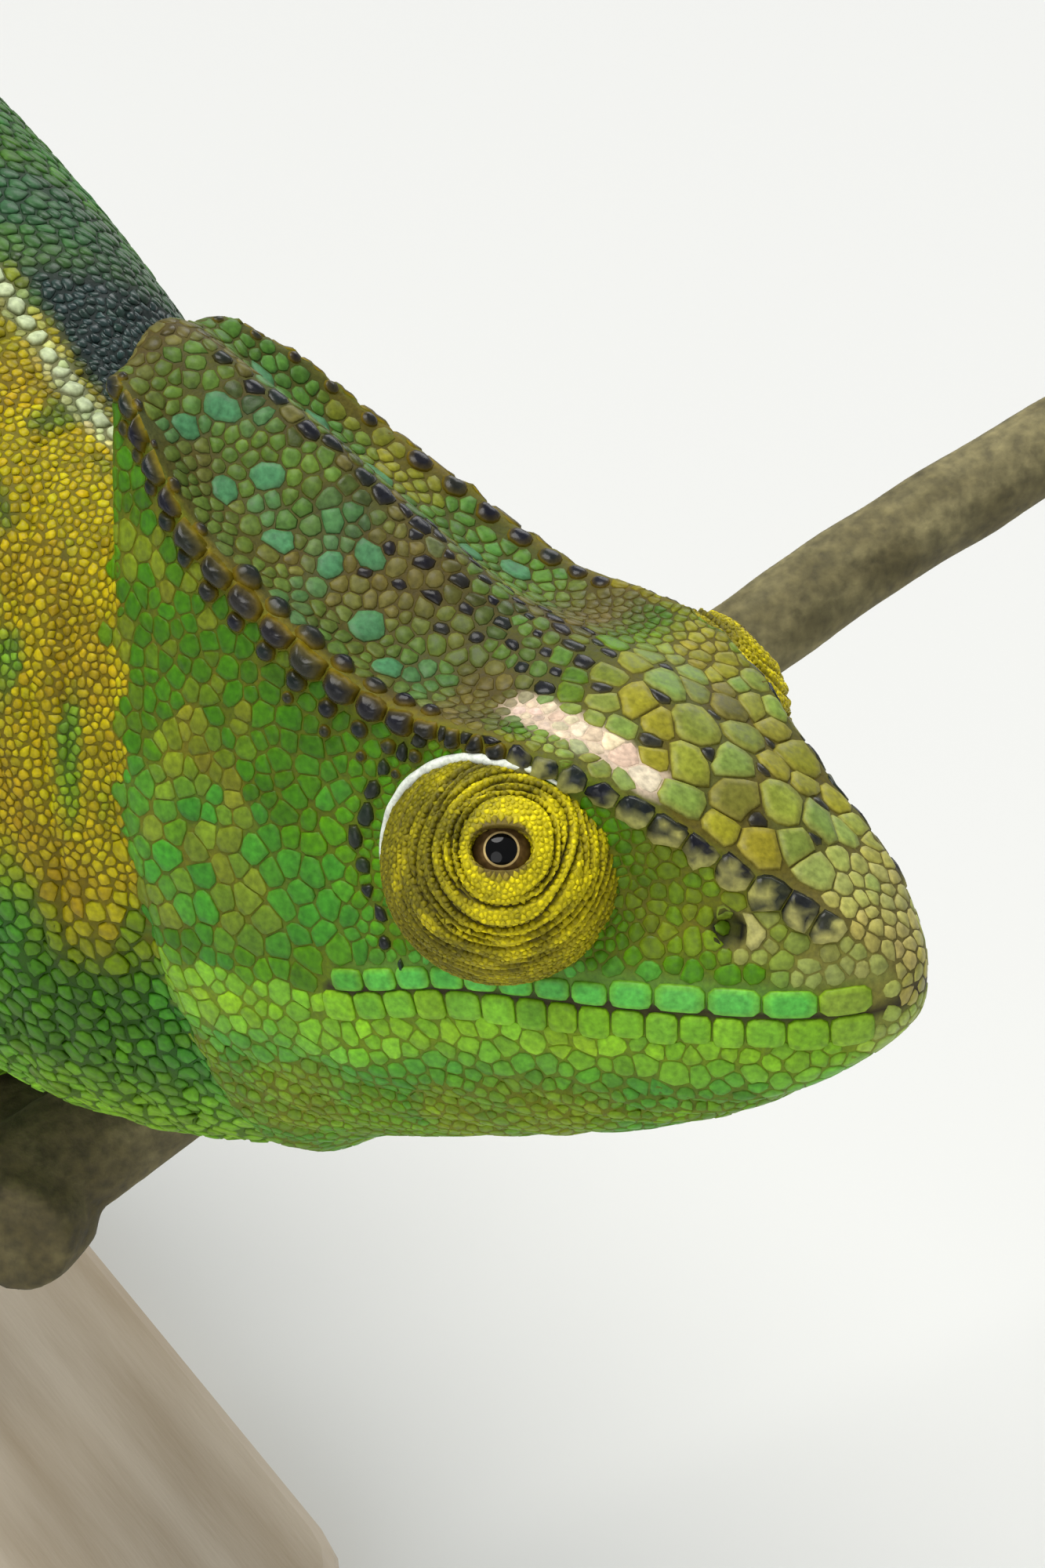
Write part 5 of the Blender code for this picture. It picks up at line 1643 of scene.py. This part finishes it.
lumps = speckle(local, 5.0, 23)
points = points + normals * ((ribs - 0.62) * BARK_RELIEF + (lumps - 0.7) * 0.5 * BARK_RELIEF)[:, None]
dark, pale = COLOURS["bark dark"], COLOURS["bark pale"]
bark_colour = mix(dark, pale, (mix(0.28, 0.78, on_shoot) * (0.6 + 0.4 * ease((ribs - 0.3) * 2)))[:, None])
bark_colour = mix(bark_colour, dark, (0.35 * ease((lumps - 0.6) * 4))[:, None])
add_tint(perch_mesh, bark_colour)
perch_mesh.vertices.foreach_set("co", (points * MM).ravel())

bark_finish = Finish("young bark", Specular_IOR_Level=0.3)
grain = bark_finish.noise(900.0, 6.0)
pits = bark_finish.noise(260.0, 3.0)
shade = bark_finish.spread(grain, 0.3, 0.7, 0.6, 1.3) * bark_finish.spread(pits, 0.35, 0.65, 0.8, 1.15)
bark_finish.set(Base_Color=bark_finish.scaled_tint(shade),
                Roughness=bark_finish.spread(grain, 0.3, 0.7, 0.7, 0.95))
bark_finish.bump(grain + pits, 0.0003, 0.7)
perch = finished("perch", perch_mesh, bark_finish)
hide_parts("perch_stem", "perch_shoot")
print("perch:", len(points), "points")

# %% [markdown]
# ## Folded lids
#
# The fused lids are a cone of loose skin that folds in rings round the small opening when
# the eye turns. Rings round the gaze give the cone with its rounded margin and the funnel
# down to the eye. The creases between the folds lie at uneven distances from the opening,
# wander a little, and fade out and come back. The eye is a small glossy ball with a gold
# ring round its pupil.

# %% Folded cone, funnel and eyeball of each eye
FOLD_DEPTH, FOLD_HALF = 0.6, 0.30      # depth and half width of a crease
LID_SIDES = 150
LID_EDGE = math.asin(LID_OPENING / LID_RADIUS)
LID_BACK = math.radians(112)
ALMOND = 0.19                          # the opening is wider than tall by twice this share
FUNNEL_FLOOR = ((6.6, 0.3), (6.65, 1.7), (6.9, 1.85))              # along the gaze, radius
FUNNEL = ((7.3, 1.9), (7.7, 1.9), (8.1, 1.92), (8.4, 1.95))
BALL_CENTRE, BALL_RADIUS = 5.75, 2.4
PUPIL_EDGE = math.asin(1.14 / BALL_RADIUS)
IRIS_EDGE = math.asin(1.28 / BALL_RADIUS)
draw = np.random.default_rng(2024)
fold_marks = 0.8 + np.cumsum(draw.uniform(0.55, 1.0, 14))               # distances from the opening

lid_finish = dull_finish("lid skin", 0.25, 3000.0, 0.45, 0.65, 0.0001)
eye_finish = Finish("wet eye", Specular_IOR_Level=0.2)
threads = eye_finish.noise(2200.0, 3.0)
eye_finish.set(Base_Color=eye_finish.scaled_tint(eye_finish.spread(threads, 0.3, 0.7, 0.8, 1.2)),
               Roughness=eye_finish.spread(threads, 0.3, 0.7, 0.05, 0.09))


def polar_of(eye, points):
    """Angle from the gaze and angle round it of points on an eye."""
    centre, forward, across, upward = eye
    away = points - centre
    flat_a, flat_u, along = away @ across, away @ upward, away @ forward
    return np.arctan2(np.hypot(flat_a, flat_u), along), np.arctan2(flat_u, flat_a)


def lid_crease(eye, points, waves):
    """Depth of the lid's creases, from 0 on a fold to 1, and the distance from its opening."""
    polar, spin = polar_of(eye, points)
    ball = eye[0] + unit(points - eye[0]) * LID_RADIUS
    arc = (polar - LID_EDGE) * LID_RADIUS
    wander = sum(size * np.sin(count * spin + turn) for count, size, turn in waves)
    depth = np.zeros(len(points))
    for k, mark in enumerate(fold_marks):
        off = np.abs(arc - mark - wander - 1.3 * (speckle(ball, 4.0, 100 + k // 2) - 0.5))
        shown = ease(3.2 * speckle(ball, 3.4, 120 + k) - 0.7)
        depth = np.maximum(depth, shown * np.clip(1 - off / FOLD_HALF, 0, 1))
    return depth * ease((LID_BACK - polar) * 6), arc


def tinted_lid(eye, points, waves):
    depth, arc = lid_crease(eye, points, waves)
    colour = wash(lid_colour(points), "lid olive", ease((arc - 6) / 4) * 0.6)
    colour = wash(colour, "lid yellow", 0.35 * ease((1.5 - arc) / 0.8))
    # Painted shade: the creases between the lid's folds are darkened brown by their depth.
    return wash(wash(colour, "painted crease shade", 1.1 * depth), "eye brown", 0.85 * ease((0.5 - arc) / 0.4))


def lid_rings(eye, waves):
    centre, forward, across, upward = eye
    spin = 2 * math.pi * np.arange(LID_SIDES) / LID_SIDES
    out = np.cos(spin)[:, None] * across + np.sin(spin)[:, None] * upward
    almond = (1 + ALMOND * np.cos(2 * spin))[:, None]
    rings = [centre + forward * along + out * radius * almond for along, radius in FUNNEL_FLOOR + FUNNEL]
    for polar in np.linspace(LID_EDGE, LID_BACK, 140):
        fade = ease(1 - (polar - LID_EDGE) * LID_RADIUS / 3.5)
        ball = unit(math.cos(polar) * forward + math.sin(polar) * out * mix(1, almond, fade)) * LID_RADIUS
        depth = FOLD_DEPTH * lid_crease(eye, centre + ball, waves)[0]
        rings.append(centre + ball * (1 - depth / LID_RADIUS)[:, None])
    return rings + [centre - 5.0 * forward + 7.2 * out, centre - 5.2 * forward + 0.6 * out]


eyes = []
for side, word in ((1, "left"), (-1, "right")):
    eye = eye_frame(side)
    waves = [(count, size, draw.uniform(0, 2 * math.pi)) for count, size in ((1, 0.4), (2, 0.25), (3, 0.12))]
    lid = bmesh.new()
    loft(lid, lid_rings(eye, waves))
    item = piece_from_bmesh("lid_" + word, lid, lid_finish,
                            lambda points: 0.75 * tinted_lid(eye, points, waves))
    eyes.append((item, eye, waves, word, side))

    bm = bmesh.new()
    marks = np.concatenate([np.linspace(0.04, PUPIL_EDGE, 7),
                            [PUPIL_EDGE + 0.01, IRIS_EDGE, IRIS_EDGE + 0.02],
                            np.linspace(IRIS_EDGE + 0.08, 1.2, 9), np.linspace(1.4, math.pi - 0.1, 6)])
    profile = [(BALL_CENTRE + BALL_RADIUS * math.cos(a), BALL_RADIUS * math.sin(a)) for a in marks]
    loft(bm, turned(eye, profile, 60))

    def eye_colour(points):
        away = points - eye[0] - eye[1] * BALL_CENTRE
        angle = np.arccos(np.clip(unit(away) @ eye[1], -1, 1))
        colour = all_of("pupil", points)
        colour[(angle > PUPIL_EDGE + 0.005) & (angle < IRIS_EDGE + 0.01)] = COLOURS["gold"]
        iris = angle >= IRIS_EDGE + 0.01
        colour[iris] = COLOURS["eye brown"] * (0.6 + 0.9 * speckle(points, 0.3, 43)[iris, None])
        return colour

    ball = piece_from_bmesh("eyeball_" + word, bm, eye_finish, eye_colour)
    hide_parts("eye_" + word)
print("lids and eyes:", len(eyes))

# %% [markdown]
# ## Grain of the lids
#
# Between its folds the lid is covered with grains about 0.4 millimetre wide. Round the
# opening they are long and stand like petals. They come from the same two steps as the
# large scales: thin out random places, then let each plate meet its neighbours.

# %% Grains on both lids
GRAIN = 0.40
PETAL_ZONE = 2.0                       # petals reach this far from the opening


def inside_skin(point):
    place, normal = surface.find_nearest(Vector(point))[:2]
    return (Vector(point) - place).dot(normal)


for item, eye, waves, word, side in eyes:
    lid_points, lid_triangles = arrays_of(item.data)
    lid_points = lid_points / MM
    lid_normals = corner_normals(lid_points, lid_triangles)
    lid_tree = bvh_of(lid_points, lid_triangles)
    arc = lid_crease(eye, lid_points, waves)[1][lid_triangles[:, 0]]
    grain = mix(0.36, GRAIN, ease(arc / 6))
    spots, spot_normals, pick = candidates(lid_points, lid_triangles, lid_normals, grain, draw)
    depth, arc = lid_crease(eye, spots, waves)
    polar = polar_of(eye, spots)[0]
    keep = (arc > 0.12) & (polar < math.radians(108)) & (depth < 0.5)
    spots, spot_normals = spots[keep], spot_normals[keep]
    grain = grain[pick][keep] * draw.uniform(0.85, 1.15, keep.sum())
    nothing = np.zeros((0, 3))
    kept = thinned(spots, grain, nothing, (nothing, nothing), nothing)
    kept = np.array([k for k in kept if inside_skin(spots[k]) > -0.3])
    spots, spot_normals, grain = spots[kept], spot_normals[kept], grain[kept]
    depth, arc = lid_crease(eye, spots, waves)
    petal = ease((PETAL_ZONE - arc) / 0.8)
    oval = np.stack([grain * mix(0.5, 0.85, petal), grain * mix(0.5, 0.42, petal)], axis=1)
    near_grains = neighbours(spots, 12)
    away = spots - eye[0]
    grain_axes = frames(spot_normals, away - eye[1] * (away @ eye[1])[:, None])
    rim = rims(spots, spot_normals, grain_axes, oval, near_grains, np.arange(len(spots)), 6, 0.02, lid_tree,
               np.full(len(spots), FITTED))
    colour = tinted_lid(eye, spots, waves) * draw.uniform(0.7, 1.3, (len(spots), 1))
    polar, spin = polar_of(eye, spots)
    x0, y0, wide, tall = ATLAS["eye_cone"]
    patch = np.stack([x0 + wide * (0.25 * (1 + side) + 0.46 * (spin / (2 * math.pi) + 0.5)),
                      y0 + tall * polar / math.pi], axis=1)
    tall = grain * draw.uniform(0.18, 0.32, len(spots))
    plate_mesh("grains_" + word, spots, spot_normals, rim, tall, np.full(len(spots), 0.3), colour,
               colour * 0.5, np.full(len(spots), 0.85), patch, 1, lid_finish)
    print("grains on the", word, "lid:", len(spots))

# %% [markdown]
# ## White edge of the socket
#
# Where the cone leaves the head a narrow white roll follows it, from behind the
# eye over its top. Its line is found on the model: at each angle round the gaze, the
# first point down the cone that lies inside the head.

# %% White roll over each eye
ROLL_RADIUS = 0.43
ROLL_DISTANCE, ROLL_SINK = 9.2, 0.4    # from the eye's centre, and how much less at its top
ROLL_REAR_Z, ROLL_FRONT_X = -0.6, 6.6  # ends of the roll in the head's frame


def socket_line(eye):
    line = []
    for spin in np.linspace(0, 2 * math.pi, 160, endpoint=False):
        out = math.cos(spin) * eye[2] + math.sin(spin) * eye[3]
        distance = ROLL_DISTANCE - ROLL_SINK * max(0.0, out[2])
        for polar in np.radians(np.arange(45, 112, 1.0)):
            point = eye[0] + distance * (math.cos(polar) * eye[1] + math.sin(polar) * out)
            if inside_skin(point) < 0.25:
                break
        line.append(point)
    line = np.array(line)
    for _ in range(6):
        line = (np.roll(line, 1, axis=0) + 2 * line + np.roll(line, -1, axis=0)) / 4
    return line


for _, eye, _, word, _ in eyes:
    line = socket_line(eye)
    in_head = to_head(line)
    wanted = (in_head[:, 2] > ROLL_REAR_Z) & (in_head[:, 0] < ROLL_FRONT_X)
    start = np.flatnonzero(wanted & ~np.roll(wanted, 1))[0]
    line = np.roll(line, -start, axis=0)[:wanted.sum()]
    roll = Way(line)
    marks = np.linspace(0, roll.length, 90)
    share = marks / roll.length
    thick = ROLL_RADIUS * np.sin(math.pi * np.clip(share, 0.02, 0.98)) ** 0.45
    thick = thick * (0.88 + 0.24 * speckle(roll.at(marks), 1.1, 51))
    bm = bmesh.new()
    loft(bm, roll.rings(marks, thick, 12))
    piece_from_bmesh("socket_edge_" + word, bm, lid_finish,
                     lambda points: all_of("socket white", points))
    print("white edge of the", word, "socket: %.1f mm" % roll.length)

# %% [markdown]
# ## Claws
#
# Each toe ends in a hooked claw of horn that follows the round of the perch.

# %% Claws on all toes
claws = bmesh.new()
for ways in claw_ways.values():
    for way in ways:
        marks = np.linspace(0, way.length, 12)
        thick = 1.0 * (1 - 0.88 * (marks / way.length) ** 1.4)
        loft(claws, way.rings(marks, thick, 10))
claw_finish = Finish("horn", Specular_IOR_Level=0.5)
streaks = claw_finish.noise(1500.0, 3.0)
claw_finish.set(Base_Color=claw_finish.blend(streaks, (0.10, 0.085, 0.04), (0.30, 0.26, 0.15)),
                Roughness=claw_finish.spread(streaks, 0.3, 0.7, 0.28, 0.45))
piece_from_bmesh("claws", claws, claw_finish)

# %% [markdown]
# ## Display stand
#
# The stand's solids are right as they are, so they only get their finishes: oiled pale
# wood with long grain on the base, and brushed steel on the rods.

# %% Wood and steel of the stand
wood_finish = Finish("pale oiled wood", Specular_IOR_Level=0.4)
lie = wood_finish.node("Mapping", {}, {"Vector": wood_finish.place(), "Scale": (6.0, 60.0, 60.0)})
rings_of_wood = wood_finish.noise(3.0, 6.0, lie)
pores = wood_finish.noise(40.0, 2.0, lie)
wood_finish.set(Base_Color=wood_finish.blend(wood_finish.spread(rings_of_wood, 0.35, 0.65),
                                             (0.46, 0.36, 0.24), (0.62, 0.52, 0.39)),
                Roughness=wood_finish.spread(pores, 0.3, 0.7, 0.4, 0.55))
wood_finish.bump(pores, 0.0001, 0.4)
steel_finish = Finish("brushed steel", Metallic=1.0)
turning = steel_finish.node("Mapping", {}, {"Vector": steel_finish.place(), "Scale": (2.0, 2.0, 90.0)})
brushed = steel_finish.noise(60.0, 4.0, turning)
steel_finish.set(Base_Color=steel_finish.blend(brushed, (0.50, 0.50, 0.49), (0.68, 0.68, 0.66)),
                 Roughness=steel_finish.spread(brushed, 0.3, 0.7, 0.22, 0.38))
STAND = {"stand_base": wood_finish, "stand_rod_front": steel_finish, "stand_rod_rear": steel_finish}
for node, finish in STAND.items():
    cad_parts[node].material_slots[0].material = finish.material

# %% [markdown]
# ## Camera, floor and light
#
# The camera looks down on the head from the animal's right. It is a long lens, so it is
# described by its distance and by how many of the image's pixels show one millimetre
# there. A large soft light hangs above, and two weaker ones fill the front and the back.
# The standard view transform keeps the saturated greens and yellows as they are mixed.

# %% Camera, lights and floor
IMAGE_HEIGHT = 2000                    # pixels
PIXELS_PER_MM = 17.1
CAMERA_DISTANCE = 430.0
SENSOR = 36.0
camera_at = from_body((416.4, -155.9, 216.5))
camera_target = from_body((87.56, 18.92, 1.47))
camera_data = bpy.data.cameras.new("camera")
camera_data.sensor_width = SENSOR
camera_data.lens = SENSOR * CAMERA_DISTANCE / (IMAGE_HEIGHT / PIXELS_PER_MM)
camera_data.clip_start = 0.01
camera = bpy.data.objects.new("camera", camera_data)
bpy.context.scene.collection.objects.link(camera)
camera.location = camera_at * MM
camera.rotation_euler = Vector(camera_target - camera_at).to_track_quat("-Z", "Y").to_euler()
bpy.context.scene.camera = camera


def soft_light(name, place, size, power, colour=(1.0, 1.0, 1.0)):
    data = bpy.data.lights.new(name, "AREA")
    data.shape = "DISK"
    data.size = size
    data.energy = power
    data.color = colour
    item = bpy.data.objects.new(name, data)
    bpy.context.scene.collection.objects.link(item)
    item.location = place
    item.rotation_euler = (Vector(HEAD_ORIGIN * MM) - Vector(place)).to_track_quat("-Z", "Y").to_euler()


soft_light("top", (0.05, -0.25, 1.25), 0.8, 13.0, (1.0, 0.99, 0.96))
soft_light("fill", (1.0, -0.9, 0.45), 0.9, 4.0)
soft_light("back", (-0.7, 0.9, 0.8), 0.9, 5.0)

floor_mesh = bmesh.new()
bmesh.ops.create_grid(floor_mesh, x_segments=2, y_segments=2, size=6.0)
mesh = bpy.data.meshes.new("floor")
floor_mesh.to_mesh(mesh)
floor_mesh.free()
floor_finish = Finish("pale floor", Base_Color=(0.78, 0.78, 0.76, 1.0), Roughness=0.8)
mesh.materials.append(floor_finish.material)
link_mesh("floor", mesh)
world = bpy.data.worlds.new("studio")
world.use_nodes = True
world.node_tree.nodes["Background"].inputs["Color"].default_value = (0.86, 0.89, 0.92, 1.0)
world.node_tree.nodes["Background"].inputs["Strength"].default_value = 0.4
bpy.context.scene.world = world
bpy.context.scene.view_settings.view_transform = "Standard"
